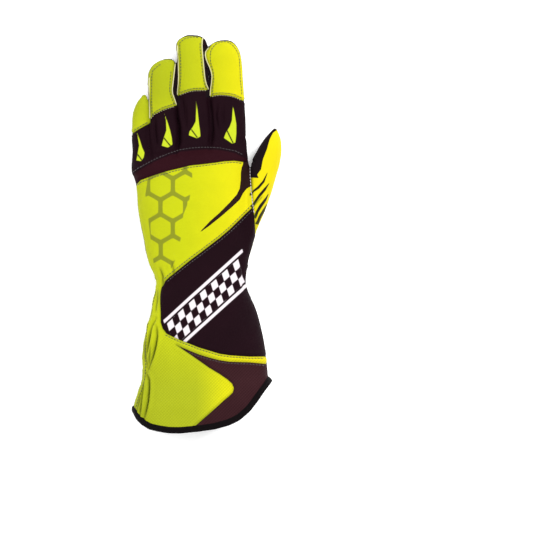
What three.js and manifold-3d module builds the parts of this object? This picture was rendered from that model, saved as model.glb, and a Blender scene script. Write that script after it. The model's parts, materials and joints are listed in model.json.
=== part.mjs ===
// A left-hand karting glove with a long gauntlet cuff, lying palm down, in millimetres.
// +X is the thumb's side, +Y runs to the fingertips and +Z is up, out of the back of the hand.
// The glove is one hollow skin, cut along its seams into panels that keep a small gap to each other.
import * as THREE from "three";
import { mergeVertices } from "three/addons/utils/BufferGeometryUtils.js";
import Module from "manifold-3d";

const wasm = await Module();
wasm.setup();

// Driving dimensions of the hand and the cuff
const PALM_WIDTH = 94;
const PALM_LENGTH = 116; // from the wrist's narrowest line to the line of the finger crotches
const PALM_HEIGHT = 30;
const WRIST_WIDTH = 72.5;
const WRIST_HEIGHT = 34;
const WRIST_LIFT = 3; // the gathered wrist's clearance over the surface
const CUFF_LENGTH = 126; // from the wrist's narrowest line to just past the hem
const CUFF_WIDTH = 113;
const CUFF_HEIGHT = 46;

// Driving dimensions of the fingers and the thumb
const INDEX_LENGTH = 81; // finger lengths run from the line of the crotches to the tip
const MIDDLE_LENGTH = 85;
const RING_LENGTH = 66;
const LITTLE_LENGTH = 36;
const FINGER_HEIGHT = 17;
const THUMB_LENGTH = 116.5; // from its root inside the hand to its tip
const THUMB_WIDTH = 22;
const THUMB_HEIGHT = 24;
const THUMB_ANGLE = 16; // degrees from the hand's long axis

// Materials' thicknesses and small features
const WALL = 1.8;
const GAP = 0.3; // between two pieces that meet at a seam
const FRONT_START = 0.97; // where the fingers' fronts meet the palm, a share of PALM_LENGTH
const PAD_THICKNESS = 0.8;
const HEM_WIDTH = 4;
const HEM_PROUD = 0.8; // how far the binding stands out of each face of the cuff
const FOURCHETTE_WIDTH = 6; // the strip between two fingers
const GATHER_DEPTH = 2.2;
const GATHER_RIBS = 9;
const FOLD_DEPTH = 1.8; // of the long fold down the gusset on the little finger's side
const SAG = 4; // the underside's round would reach this far under the surface, and is flattened there

const REST = PAD_THICKNESS + GAP; // the underside of the palm, which stands on its grip pads
const TALL = 4 * CUFF_HEIGHT; // more than the glove's height, for cutters
const FACETS = { top: 12, bottom: 2 * Math.round(GATHER_RIBS), finger: 12 };

// A table whose first column is the key: it returns a row of the other columns at any key, smoothly interpolated.
function table(columns, rows) {
  const curve = new THREE.CubicInterpolant(
    rows.map((row) => row[0]),
    rows.flatMap((row) => row.slice(1)),
    columns.length - 1,
  );
  return (key) => {
    const values = curve.evaluate(key);
    return Object.fromEntries(columns.slice(1).map((name, i) => [name, values[i]]));
  };
}

// Hand and cuff. along is a share of PALM_LENGTH above the wrist and of CUFF_LENGTH below it.
// palm and cuff say how far a section has left the wrist's size for the palm's or the cuff's.
// left, right are shares of the section's width, top of its height, and seam of its top; lift is a share of
// WRIST_LIFT, gather of GATHER_DEPTH, fold of FOLD_DEPTH, and skew is the slope of the section towards the little
// finger.
const bodyAt = table(
  ["along", "palm", "cuff", "left", "right", "top", "seam", "lift", "gather", "fold", "skew"],
  [
    [-1.08, 0, 1.0, 0.505, 0.53, 1.0, 0.45, 0, 0, 0.3, 0],
    [-0.83, 0, 0.97, 0.496, 0.535, 1.0, 0.45, 0, 0, 0.6, 0],
    [-0.72, 0, 0.88, 0.471, 0.556, 1.0, 0.45, 0, 0, 0.9, 0],
    [-0.66, 0, 0.82, 0.46, 0.56, 1.0, 0.45, 0, 0, 1, 0],
    [-0.6, 0, 0.77, 0.457, 0.521, 1.0, 0.45, 0, 0, 1, 0],
    [-0.467, 0, 0.68, 0.469, 0.526, 1.0, 0.45, 0.05, 0, 1, 0],
    [-0.363, 0, 0.58, 0.479, 0.526, 1.0, 0.45, 0.3, 0.12, 0.8, 0],
    [-0.26, 0, 0.42, 0.478, 0.533, 1.0, 0.45, 0.55, 0.4, 0.4, 0],
    [-0.156, 0, 0.25, 0.478, 0.528, 1.0, 0.45, 0.85, 0.7, 0.1, 0],
    [-0.1, 0, 0.13, 0.488, 0.518, 1.0, 0.45, 0.95, 0.9, 0, 0],
    [-0.055, 0, 0.06, 0.494, 0.508, 1.0, 0.45, 1.0, 0.25, 0, 0],
    [0, 0, 0, 0.5, 0.5, 1.0, 0.45, 1.0, 1.0, 0, 0],
    [0.055, 0.12, 0, 0.51, 0.49, 0.99, 0.45, 0.85, 0.25, 0, 0],
    [0.1, 0.24, 0, 0.526, 0.478, 0.98, 0.44, 0.7, 0.9, 0, 0],
    [0.15, 0.38, 0, 0.536, 0.473, 0.98, 0.43, 0.35, 0, 0, 0],
    [0.282, 0.75, 0, 0.529, 0.465, 1.0, 0.41, 0, 0, 0, 0],
    [0.394, 0.9, 0, 0.541, 0.457, 1.02, 0.4, 0, 0, 0, 0],
    [0.507, 1.0, 0, 0.551, 0.442, 1.03, 0.4, 0, 0, 0, 0],
    [0.676, 1.0, 0, 0.568, 0.42, 1.0, 0.4, 0, 0, 0, 0],
    [0.796, 1.0, 0, 0.6, 0.412, 0.94, 0.41, 0, 0, 0, 0.02],
    [0.901, 1.0, 0, 0.602, 0.39, 0.8, 0.44, 0, 0, 0, 0.06],
    [1.0, 1.0, 0, 0.598, 0.386, 0.5, 0.5, 0, 0, 0, 0.11],
  ],
);
const GATHER_TOP = 0.15; // where the gathered band meets the palm, a share of PALM_LENGTH
const GATHER_BOTTOM = -0.08; // where it meets the cuff, a share of CUFF_LENGTH
const BODY_SECTIONS = [
  ...[-1.08, -0.83, -0.66, -0.5, -0.34, -0.2, -0.1, -0.055, 0],
  ...[0.055, 0.1, 0.15, 0.3, 0.55, 0.8, 0.9, 1],
];

// A finger's height at a share of its length from the line of the crotches, as a share of FINGER_HEIGHT.
const fingerHeightAt = table(
  ["along", "height"],
  [
    [-0.8, 1.3],
    [-0.3, 1.2],
    [0.1, 1.08],
    [0.4, 1.0],
    [0.8, 0.97],
    [0.93, 0.8],
    [0.98, 0.52],
    [1.0, 0.2],
  ],
);
const FINGER_CENTRE_HEIGHT = 0.43; // a share of FINGER_HEIGHT

// The fingers' sides at shares of their lengths from the line of the crotches, as shares of PALM_WIDTH. edge is
// where the back panel meets the knuckle band, at its left side, middle and right side, and pads are the heads of the
// grip pads under the finger, all as shares of its length.
const sidesAt = (rows) => table(["along", "left", "right"], rows);
const FINGERS = [
  {
    name: "index",
    length: INDEX_LENGTH,
    edge: [0.44, 0.455, 0.41],
    pads: [0.832, 0.63, 0.44, 0.01],
    sections: [-0.3, -0.1, 0.4, 0.72, 0.85, 0.95, 1],
    sides: sidesAt([
      [-0.3, 0.1, 0.36],
      [-0.1, 0.089, 0.375],
      [0.15, 0.078, 0.379],
      [0.4, 0.076, 0.369],
      [0.6, 0.082, 0.359],
      [0.72, 0.063, 0.353],
      [0.82, 0.035, 0.343],
      [0.89, 0.042, 0.327],
      [0.95, 0.078, 0.297],
      [0.985, 0.125, 0.262],
      [1, 0.167, 0.228],
    ]),
  },
  {
    name: "middle",
    length: MIDDLE_LENGTH,
    edge: [0.445, 0.485, 0.49],
    pads: [0.888, 0.668, 0.467, 0.01],
    sections: [-0.3, -0.1, 0.43, 0.81, 0.91, 0.96, 1],
    sides: sidesAt([
      [-0.3, -0.18, 0.05],
      [-0.1, -0.189, 0.061],
      [0.15, -0.199, 0.06],
      [0.43, -0.206, 0.052],
      [0.62, -0.212, 0.041],
      [0.81, -0.216, 0.028],
      [0.85, -0.217, 0.03],
      [0.91, -0.219, 0.046],
      [0.95, -0.202, 0.034],
      [0.98, -0.163, 0.008],
      [1, -0.124, -0.033],
    ]),
  },
  {
    name: "ring",
    length: RING_LENGTH,
    edge: [0.27, 0.38, 0.445],
    pads: [0.9, 0.688, 0.49, -0.065],
    sections: [-0.36, -0.1, 0.35, 0.8, 0.89, 0.95, 1],
    sides: sidesAt([
      [-0.36, -0.43, -0.21],
      [-0.1, -0.45, -0.206],
      [0.12, -0.452, -0.215],
      [0.43, -0.456, -0.222],
      [0.61, -0.459, -0.232],
      [0.8, -0.456, -0.228],
      [0.885, -0.436, -0.223],
      [0.95, -0.388, -0.228],
      [0.985, -0.34, -0.245],
      [1, -0.31, -0.267],
    ]),
  },
  {
    name: "little",
    length: LITTLE_LENGTH,
    edge: [0.14, 0.28, 0.375],
    pads: [0.76, 0.4, 0.128, -0.47],
    sections: [-0.7, 0, 0.4, 0.72, 0.86, 0.95, 1],
    sides: sidesAt([
      [-0.7, -0.58, -0.461],
      [0, -0.598, -0.464],
      [0.33, -0.594, -0.468],
      [0.56, -0.585, -0.469],
      [0.72, -0.567, -0.471],
      [0.86, -0.54, -0.475],
      [0.94, -0.515, -0.483],
      [1, -0.505, -0.49],
    ]),
  },
];

// The thumb from its root (0) to its tip (1): shares of THUMB_WIDTH and THUMB_HEIGHT; bow is a share of THUMB_WIDTH.
const thumbAt = table(
  ["along", "width", "height", "bow"],
  [
    [0, 0.6, 0.75, 0],
    [0.223, 0.56, 0.85, 0],
    [0.31, 0.58, 0.9, 0],
    [0.407, 0.7, 0.95, 0.02],
    [0.524, 0.86, 1.0, 0],
    [0.63, 0.97, 1.0, -0.04],
    [0.718, 1.0, 0.97, -0.07],
    [0.815, 0.86, 0.88, -0.05],
    [0.892, 0.66, 0.72, -0.03],
    [0.94, 0.47, 0.52, -0.04],
    [0.98, 0.24, 0.3, -0.06],
    [1.0, 0.1, 0.14, -0.08],
  ],
);
const THUMB_SECTIONS = [0, 0.2, 0.35, 0.51, 0.66, 0.78, 0.88, 0.94, 1.0];
const THUMB_ROOT = { across: 0.3165, along: 0.113 }; // shares of PALM_WIDTH and PALM_LENGTH
const THUMB_CENTRE_HEIGHT = 0.54; // a share of THUMB_HEIGHT

const power = (value, exponent) => Math.sign(value) * Math.abs(value) ** exponent;

// Half of a superellipse's outline, sampled from the angle start over half a turn.
function halfOutline(count, start, exponent) {
  return Array.from({ length: count }, (_, i) => {
    const angle = start + (Math.PI * i) / count;
    return [power(Math.cos(angle), 2 / exponent), power(Math.sin(angle), 2 / exponent)];
  });
}

// Joins rings of equally many points into one closed skin; each ring runs anticlockwise seen from the first ring.
function loft(rings) {
  const count = rings[0].length;
  const last = (rings.length - 1) * count;
  const centre = (ring) => ring.reduce((sum, p) => sum.add(p), new THREE.Vector3()).divideScalar(count);
  const points = [...rings.flat(), centre(rings[0]), centre(rings.at(-1))];
  const faces = [];
  for (let i = 0; i < count; i++) {
    const next = (i + 1) % count;
    for (let start = 0; start < last; start += count) {
      faces.push(start + i, start + next, start + count + next);
      faces.push(start + i, start + count + next, start + count + i);
    }
    faces.push(points.length - 2, next, i);
    faces.push(points.length - 1, last + i, last + next);
  }
  return solidOf(new THREE.BufferGeometry().setFromPoints(points).setIndex(faces));
}

// A closed geometry as a solid that can be joined and cut.
function solidOf(geometry) {
  const bare = new THREE.BufferGeometry().setAttribute("position", geometry.getAttribute("position"));
  bare.setIndex(geometry.getIndex());
  const merged = mergeVertices(bare, 1e-4);
  return new wasm.Manifold(
    new wasm.Mesh({
      numProp: 3,
      vertProperties: merged.getAttribute("position").array,
      triVerts: new Uint32Array(merged.getIndex().array),
    }),
  );
}

// The body's section sizes at a share along it, in millimetres.
function bodySizes(along) {
  const row = bodyAt(along);
  const blend = (palm, cuff, wrist) =>
    palm * row.palm + cuff * row.cuff + wrist * (1 - row.palm - row.cuff);
  const width = blend(PALM_WIDTH, CUFF_WIDTH, WRIST_WIDTH);
  const top = REST + row.top * blend(PALM_HEIGHT, CUFF_HEIGHT, WRIST_HEIGHT);
  return {
    y: along * (along < 0 ? CUFF_LENGTH : PALM_LENGTH),
    left: -row.left * width,
    right: row.right * width,
    top,
    seam: row.seam * top,
    low: REST + row.lift * WRIST_LIFT,
    gather: row.gather * GATHER_DEPTH,
    fold: row.fold * FOLD_DEPTH,
    slope: row.skew,
    phase: along > 0.055 ? 1 : 0,
  };
}

// The hand and the cuff as one volume, taken in by inset.
function body(inset) {
  const upper = halfOutline(FACETS.top, 0, 2.2);
  const lower = halfOutline(FACETS.bottom, Math.PI, 2.7);
  return loft(
    BODY_SECTIONS.toReversed().map((along) => {
      const size = bodySizes(along);
      const middle = (size.left + size.right) / 2;
      const half = (size.right - size.left) / 2 - inset;
      const front = along === 1 ? inset : 0;
      const place = (across, z) =>
        new THREE.Vector3(middle + half * across, size.y - front - size.slope * (1 - across) * half, z);
      return [
        ...upper.map(([c, s], i) => {
          const fold = i === FACETS.top - 2 ? size.fold : 0;
          return place(c + fold / half, size.seam + (size.top - size.seam - inset) * s - fold);
        }),
        ...lower.map(([c, s], i) => {
          const z = size.seam + (size.seam - size.low + SAG - inset) * s;
          const rib = size.gather * ((i + size.phase) % 2) * Math.min(1, -s);
          return place(c, Math.max(z, size.low + inset) + rib);
        }),
      ];
    }),
  );
}

// A finger as a volume that starts inside the hand, taken in by inset.
function finger(spec, inset) {
  return loft(
    spec.sections.toReversed().map((along) => {
      const { left, right } = spec.sides(along);
      const height = fingerHeightAt(along).height * FINGER_HEIGHT;
      const halfWidth = Math.max(((right - left) * PALM_WIDTH) / 2 - inset, 0.1);
      const halfHeight = Math.max(height / 2 - inset, 0.1);
      const centre = new THREE.Vector3(
        ((left + right) * PALM_WIDTH) / 2,
        PALM_LENGTH + along * spec.length - (along === 1 ? inset : 0),
        REST + FINGER_CENTRE_HEIGHT * (0.6 * FINGER_HEIGHT + 0.4 * Math.min(height, FINGER_HEIGHT)),
      );
      return ring(centre, new THREE.Vector3(1, 0, 0), halfWidth, halfHeight, REST + inset, FACETS.finger);
    }),
  );
}

// A rounded ring in the plane of the direction across and of Z, cut off flat at the height floor.
function ring(centre, across, halfWidth, halfHeight, floor, facets) {
  return Array.from({ length: facets }, (_, i) => {
    const angle = (2 * Math.PI * i) / facets;
    const point = centre.clone().addScaledVector(across, halfWidth * power(Math.cos(angle), 2 / 2.3));
    point.z = Math.max(point.z + halfHeight * power(Math.sin(angle), 2 / 2.3), floor);
    return point;
  });
}

// The thumb's centre line, and the point at a share along it and a share of the half width across it.
const thumbHeading = new THREE.Vector3(0, 1, 0).applyAxisAngle(
  new THREE.Vector3(0, 0, 1),
  THREE.MathUtils.degToRad(-THUMB_ANGLE),
);
const thumbAcross = new THREE.Vector3(thumbHeading.y, -thumbHeading.x, 0);
function thumbPoint(along, across) {
  const row = thumbAt(Math.min(Math.max(along, 0), 1));
  return new THREE.Vector3(THUMB_ROOT.across * PALM_WIDTH, THUMB_ROOT.along * PALM_LENGTH, 0)
    .addScaledVector(thumbHeading, along * THUMB_LENGTH)
    .addScaledVector(thumbAcross, (row.bow + (across * row.width) / 2) * THUMB_WIDTH);
}

function thumb(inset) {
  return loft(
    THUMB_SECTIONS.toReversed().map((along) => {
      const row = thumbAt(along);
      const centre = thumbPoint(along, 0);
      centre.addScaledVector(thumbHeading, along === 1 ? -inset : 0);
      centre.z = REST + THUMB_CENTRE_HEIGHT * THUMB_HEIGHT;
      const halfWidth = Math.max((row.width * THUMB_WIDTH) / 2 - inset, 0.1);
      const halfHeight = Math.max((row.height * THUMB_HEIGHT) / 2 - inset, 0.1);
      return ring(centre, thumbAcross, halfWidth, halfHeight, REST + inset, FACETS.finger);
    }),
  );
}

// The whole glove's volume, taken in by inset, or grown where inset is negative.
function gloveVolume(inset) {
  return FINGERS.reduce((sum, spec) => sum.add(finger(spec, inset)), body(inset).add(thumb(inset)));
}

// An outline moved outwards by distance, with mitred corners.
function grown(points, distance) {
  const outline = THREE.ShapeUtils.isClockWise(points) ? points.toReversed() : points;
  const count = outline.length;
  return outline.map((point, i) => {
    const before = outline[(i + count - 1) % count];
    const after = outline[(i + 1) % count];
    const first = point.clone().sub(before).normalize();
    const second = after.clone().sub(point).normalize();
    const normal = new THREE.Vector2(first.y + second.y, -first.x - second.x).normalize();
    const cosine = Math.max(normal.x * first.y - normal.y * first.x, 0.5);
    return point.clone().addScaledVector(normal, distance / cosine);
  });
}

function extruded(outline, depth) {
  return new THREE.ExtrudeGeometry(new THREE.Shape(outline), { depth, bevelEnabled: false });
}

// An upright prism on an outline in the XY plane, from low to high.
function prism(outline, low, high) {
  return solidOf(extruded(outline, high - low).translate(0, 0, low));
}

// A point of the hand's chart: across is 0 at the left edge and 1 at the right edge of the section at along.
function chart([across, along]) {
  const size = bodySizes(THREE.MathUtils.clamp(along, -1.08, 1));
  const y = along * (along < 0 ? CUFF_LENGTH : PALM_LENGTH);
  return new THREE.Vector2(size.left + across * (size.right - size.left), y);
}
const charted = (points) => points.map(chart);
const flat = (point) => new THREE.Vector2(point.x, point.y);

// Everything over or under the side seam, which rises and falls along the hand but runs level across it.
const seamLine = [-1.08, -0.6, -0.2, 0, 0.15, 0.3, 0.5, 0.8, 1.0].map((along) => {
  const size = bodySizes(along);
  return [size.y, size.seam];
});
const FINGER_SEAM = REST + 0.6 * FINGER_HEIGHT;
seamLine.push([PALM_LENGTH + 0.06 * MIDDLE_LENGTH, FINGER_SEAM]);
seamLine.push([PALM_LENGTH + 2 * MIDDLE_LENGTH, FINGER_SEAM]);
function seamSide(sign, distance) {
  const line = seamLine.map(([y, z]) => new THREE.Vector2(-y, z - sign * distance));
  const far = sign * TALL;
  const corners = [new THREE.Vector2(line.at(-1).x, far), new THREE.Vector2(line[0].x, far)];
  const turn = new THREE.Matrix4().makeBasis(
    new THREE.Vector3(0, -1, 0),
    new THREE.Vector3(0, 0, 1),
    new THREE.Vector3(-1, 0, 0),
  );
  const geometry = extruded([...line, ...corners], 4 * CUFF_WIDTH);
  return solidOf(geometry.applyMatrix4(turn).translate(2 * CUFF_WIDTH, 0, 0));
}

// The hem's curve from the little finger's side to the thumb's, and all that lies past it.
const hemCurve = charted([
  [-0.06, -0.78],
  [-0.004, -0.834],
  [0.032, -0.893],
  [0.076, -0.925],
  [0.125, -0.951],
  [0.196, -0.966],
  [0.3, -0.974],
  [0.475, -0.963],
  [0.58, -0.948],
  [0.685, -0.922],
  [0.754, -0.893],
  [0.823, -0.838],
  [0.875, -0.776],
  [0.915, -0.718],
  [0.964, -0.666],
  [1.021, -0.631],
  [1.1, -0.59],
]);
const beyondHem = [
  ...hemCurve,
  new THREE.Vector2(2 * CUFF_WIDTH, hemCurve.at(-1).y),
  new THREE.Vector2(2 * CUFF_WIDTH, -2 * CUFF_LENGTH),
  new THREE.Vector2(-2 * CUFF_WIDTH, -2 * CUFF_LENGTH),
  new THREE.Vector2(-2 * CUFF_WIDTH, hemCurve[0].y),
];
const upright = (points, distance) => prism(grown(points, distance), -TALL, TALL);
const pastHem = (distance) => upright(beyondHem, distance);

const outerVolume = gloveVolume(0);
const innerVolume = gloveVolume(WALL);
const skin = outerVolume.subtract(innerVolume);

// Regions of the skin in the order in which they are cut out. Each is a function of how far it is grown, so that a
// later panel keeps GAP to an earlier one.
const above = (points) => (distance) => upright(points, distance).intersect(seamSide(1, distance));
const below = (points) => (distance) => upright(points, distance).intersect(seamSide(-1, distance));

// The thumb's panels. Over its middle height they follow the seam beside the hand and the edge of the grip side,
// under it the back panel is a strip along the outer side, on the thumb's own chart of shares along and across.
const thumbMiddle = REST + THUMB_CENTRE_HEIGHT * THUMB_HEIGHT;
const THUMB_SEAM = [
  [1.002, 0.734],
  [1.004, 0.646],
  [1.003, 0.576],
  [1.004, 0.527],
  [0.989, 0.422],
  [0.98, 0.27],
];
const thumbBackTop = charted([
  [1.33, 1.11],
  [1.236, 1.04],
  [1.209, 0.998],
  [1.18, 0.927],
  [1.132, 0.857],
  [1.099, 0.787],
  [1.063, 0.745],
  ...THUMB_SEAM,
  [1.2, 0.16],
  [1.7, 0.5],
  [1.7, 1.2],
]);
const thumbBackUnder = [
  [0.07, 4],
  [0.07, 0.5],
  [0.29, 0.5],
  [0.485, 0.55],
  [0.73, 0.65],
  [0.9, 0.6],
  [1.1, 1],
  [1.1, 4],
].map(([along, across]) => flat(thumbPoint(along, across)));
const thumbTop = charted([
  [0.958, 0.85],
  [0.965, 0.79],
  ...THUMB_SEAM,
  [1.2, 0.16],
  [1.8, 0.4],
  [1.8, 1.3],
  [1.15, 1.2],
  [1.05, 0.97],
]);
const thumbUnder = charted([
  [0.958, 0.85],
  [0.93, 0.75],
  [0.9, 0.6],
  [0.83, 0.4],
  [0.76, 0.24],
  [0.72, 0.17],
  [1.2, 0.165],
  [1.8, 0.4],
  [1.8, 1.3],
  [1.15, 1.2],
  [1.05, 0.97],
]);

// The gusset on the little finger's side, from the wrist to the hem.
const gussetOutline = charted([
  [-0.3, 0.0],
  [0.087, 0.0],
  [0.056, -0.032],
  [0.057, -0.084],
  [0.105, -0.259],
  [0.134, -0.298],
  [0.07, -0.36],
  [0.05, -0.45],
  [0.06, -0.6],
  [0.07, -0.75],
  [0.09, -1.05],
  [-0.3, -1.05],
]);
const GUSSET_LOW = 0.3; // how low the gusset reaches round the side, a share of WRIST_HEIGHT

// The middle of a finger at a share of its length.
const middleOf = (spec, along) => ((spec.sides(along).left + spec.sides(along).right) * PALM_WIDTH) / 2;

// Points from low to high in y, halfway between two neighbouring fingers, or just beside the one that reaches there.
const BOUNDARY_STEPS = 6;
function boundary(left, right, low, high) {
  return Array.from({ length: BOUNDARY_STEPS + 1 }, (_, i) => {
    const y = THREE.MathUtils.lerp(low, high, i / BOUNDARY_STEPS);
    const along = (spec) => (y - PALM_LENGTH) / spec.length;
    const leftX = left && along(left) < 1 ? left.sides(along(left)).right * PALM_WIDTH : null;
    const rightX = right && along(right) < 1 ? right.sides(along(right)).left * PALM_WIDTH : null;
    if (leftX !== null && rightX !== null) {
      return new THREE.Vector2((leftX + rightX) / 2, y);
    }
    if (leftX === null && rightX === null) {
      const spec = left ?? right;
      return new THREE.Vector2(middleOf(spec, 1) + (left ? 1 : -1) * spec.length * 0.2, y);
    }
    return new THREE.Vector2(leftX === null ? rightX - WALL : leftX + WALL, y);
  });
}

// A fourchette fills the space between two neighbouring fingers, from below the crotch nearly to the shorter tip.
function fourchetteOutline(right, left) {
  const tip = PALM_LENGTH + 0.9 * Math.min(left.length, right.length);
  const root = 0.86 * PALM_LENGTH;
  return [
    new THREE.Vector2(middleOf(left, 0.2), root),
    new THREE.Vector2(middleOf(right, 0.2), root),
    new THREE.Vector2(middleOf(right, 0.9), tip),
    new THREE.Vector2(middleOf(left, 0.9), tip),
  ];
}

// A finger's back panel, from its curved edge at the knuckle band to past its tip, up to halfway to its neighbours.
function fingerBackOutline(spec, index) {
  const [leftEdge, middleEdge, rightEdge] = spec.edge.map((share) => PALM_LENGTH + share * spec.length);
  const past = PALM_LENGTH + 1.05 * spec.length;
  return [
    new THREE.Vector2(middleOf(spec, 0.4), middleEdge),
    ...boundary(spec, FINGERS[index - 1], rightEdge, past),
    ...boundary(FINGERS[index + 1], spec, leftEdge, past).toReversed(),
  ];
}

// A finger's front, from the line of the crotches to past its tip.
function fingerFrontOutline(spec, index) {
  const start = FRONT_START * PALM_LENGTH;
  const past = PALM_LENGTH + 1.05 * spec.length;
  return [
    ...boundary(spec, FINGERS[index - 1], start, past),
    ...boundary(FINGERS[index + 1], spec, start, past).toReversed(),
  ];
}

// The lines that the panels of the back share, on the hand's chart, from left to right.
const BAND_LOWER = [
  [-0.1, 0.63],
  [0.009, 0.689],
  [0.051, 0.713],
  [0.135, 0.734],
  [0.318, 0.78],
  [0.495, 0.815],
  [0.713, 0.836],
  [0.888, 0.85],
  [1.02, 0.845],
];
const DIAGONAL = [
  [1.1, 0.6],
  [1.004, 0.527],
  [0.884, 0.436],
  [0.792, 0.365],
  [0.609, 0.253],
  [0.413, 0.148],
  [0.155, 0.035],
  [0.087, 0],
  [0.056, -0.032],
  [0.057, -0.084],
  [0.105, -0.259],
  [0.134, -0.298],
];
const CUFF_SEAM = [
  [0.177, -0.33],
  [0.31, -0.375],
  [0.46, -0.42],
  [0.621, -0.459],
  [0.702, -0.469],
  [0.865, -0.479],
  [1.1, -0.479],
];
const TRIM_LOWER = [
  [0.269, -0.401],
  [0.376, -0.44],
  [0.538, -0.485],
  [0.702, -0.511],
  [0.865, -0.514],
  [1.1, -0.53],
];
const WEDGE_EDGE = [
  [0.39, -0.46],
  [0.457, -0.505],
  [0.538, -0.55],
  [0.616, -0.589],
  [0.676, -0.634],
  [0.696, -0.686],
  [0.687, -0.712],
  [0.634, -0.757],
  [0.508, -0.873],
  [0.4, -0.97],
  [0.33, -1.05],
];
const STRIPE = [
  [0.97, 0.87],
  [0.958, 0.836],
  [0.931, 0.773],
  [0.927, 0.717],
  [0.907, 0.646],
  [0.807, 0.555],
  [0.618, 0.422],
  [0.512, 0.341],
  [0.616, 0.4],
  [0.822, 0.534],
  [0.898, 0.583],
  [0.931, 0.625],
  [0.965, 0.66],
  [1.1, 0.7],
  [1.1, 0.87],
];

const knuckleBand = [
  ...charted(BAND_LOWER),
  new THREE.Vector2(2 * PALM_WIDTH, PALM_LENGTH),
  new THREE.Vector2(2 * PALM_WIDTH, PALM_LENGTH + MIDDLE_LENGTH),
  new THREE.Vector2(-PALM_WIDTH, PALM_LENGTH + MIDDLE_LENGTH),
];
const backPanel = charted([[1.3, 0.9], ...DIAGONAL.slice(0, 8), [-0.4, 0], [-0.4, 0.9]]);
const cuffBack = charted([...DIAGONAL, ...CUFF_SEAM, [1.5, 0.1]]);
const cuffWedge = charted([...WEDGE_EDGE.toReversed(), ...TRIM_LOWER.slice(2), [1.3, -1.08]]);
const across = (low, high) => charted([[-0.4, low], [1.4, low], [1.4, high], [-0.4, high]]);
const allOfCuff = across(-1.08, 0);
const gatherBand = across(GATHER_BOTTOM, GATHER_TOP);
const belowGather = across(-1.08, GATHER_BOTTOM);
const everything = [
  new THREE.Vector2(-2 * PALM_WIDTH, 0),
  new THREE.Vector2(2 * PALM_WIDTH, 0),
  new THREE.Vector2(2 * PALM_WIDTH, 3 * PALM_LENGTH),
  new THREE.Vector2(-2 * PALM_WIDTH, 3 * PALM_LENGTH),
];

const YELLOW = { color: 0xd9e021, roughness: 0.75, metalness: 0 };
const BLACK = { color: 0x1b1417, roughness: 0.8, metalness: 0 };
const SUEDE = { color: 0x1a1216, roughness: 0.95, metalness: 0 };
const GREY_GRIP = { color: 0x7a6b70, roughness: 0.5, metalness: 0 };
const RED_GRIP = { color: 0xe8354a, roughness: 0.5, metalness: 0 };

const regions = [
  {
    name: "thumb_back",
    finish: YELLOW,
    region: (d) =>
      prism(grown(thumbBackTop, d), thumbMiddle - d, TALL).add(
        prism(grown(thumbBackUnder, d), -TALL, thumbMiddle + WALL + d),
      ),
  },
  {
    name: "thumb_palm",
    finish: SUEDE,
    region: (d) => upright(thumbTop, d).add(below(thumbUnder)(d)),
  },
  {
    name: "cuff_side_gusset",
    finish: YELLOW,
    region: (d) => prism(grown(gussetOutline, d), GUSSET_LOW * WRIST_HEIGHT - d, TALL),
  },
  ...[0, 1, 2].map((i) => ({
    name: `fourchette_${FINGERS[i].name}_${FINGERS[i + 1].name}`,
    finish: SUEDE,
    region: (d) =>
      prism(
        grown(fourchetteOutline(FINGERS[i], FINGERS[i + 1]), d),
        FINGER_SEAM - FOURCHETTE_WIDTH - d,
        TALL,
      ).intersect(seamSide(-1, d)),
  })),
  ...FINGERS.map((spec, i) => ({
    name: `${spec.name}_back`,
    finish: YELLOW,
    region: above(fingerBackOutline(spec, i)),
  })).toReversed(),
  { name: "knuckle_band", finish: BLACK, region: above(knuckleBand) },
  { name: "back_stripe", finish: BLACK, region: above(charted(STRIPE)) },
  { name: "back_panel", finish: YELLOW, region: above(backPanel) },
  { name: "cuff_back_panel", finish: BLACK, region: above(cuffBack) },
  { name: "cuff_wedge_panel", finish: BLACK, region: above(cuffWedge) },
  { name: "cuff_lower_panel", finish: YELLOW, region: above(allOfCuff) },
  ...FINGERS.map((spec, i) => ({
    name: `${spec.name}_front`,
    finish: SUEDE,
    region: below(fingerFrontOutline(spec, i)),
  })).toReversed(),
  { name: "wrist_gather", finish: BLACK, region: below(gatherBand) },
  { name: "cuff_palm_panel", finish: BLACK, region: below(belowGather) },
  { name: "palm_panel", finish: SUEDE, region: below(everything) },
];

const glove = new THREE.Group();

// The largest body of a solid: cuts along the seams leave slivers, which aren't part of a panel.
function mainBody(solid) {
  return solid.decompose().reduce((most, next) => (next.volume() > most.volume() ? next : most));
}

function addPiece(name, geometry, finish) {
  geometry.computeVertexNormals();
  const piece = new THREE.Mesh(geometry, new THREE.MeshStandardMaterial(finish));
  piece.name = name;
  glove.add(piece);
}

function addSolid(name, solid, finish) {
  const mesh = mainBody(solid).getMesh();
  const points = new Float32Array(mesh.numVert * 3);
  for (let i = 0; i < mesh.numVert; i++) {
    points.set(mesh.vertProperties.subarray(i * mesh.numProp, i * mesh.numProp + 3), i * 3);
  }
  const geometry = new THREE.BufferGeometry().setAttribute("position", new THREE.BufferAttribute(points, 3));
  addPiece(name, geometry.setIndex(new THREE.BufferAttribute(mesh.triVerts, 1)), finish);
}

let remaining = skin.subtract(pastHem(HEM_WIDTH + GAP));
for (const { name, finish, region } of regions) {
  addSolid(name, remaining.intersect(region(0)), finish);
  remaining = remaining.subtract(region(GAP));
}

// The hem's binding: a thicker ring of the skin along the cuff's edge.
const thickSkin = body(-HEM_PROUD).subtract(body(WALL + HEM_PROUD));
addSolid("hem_binding", thickSkin.intersect(pastHem(HEM_WIDTH)).subtract(pastHem(0)), BLACK);

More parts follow.
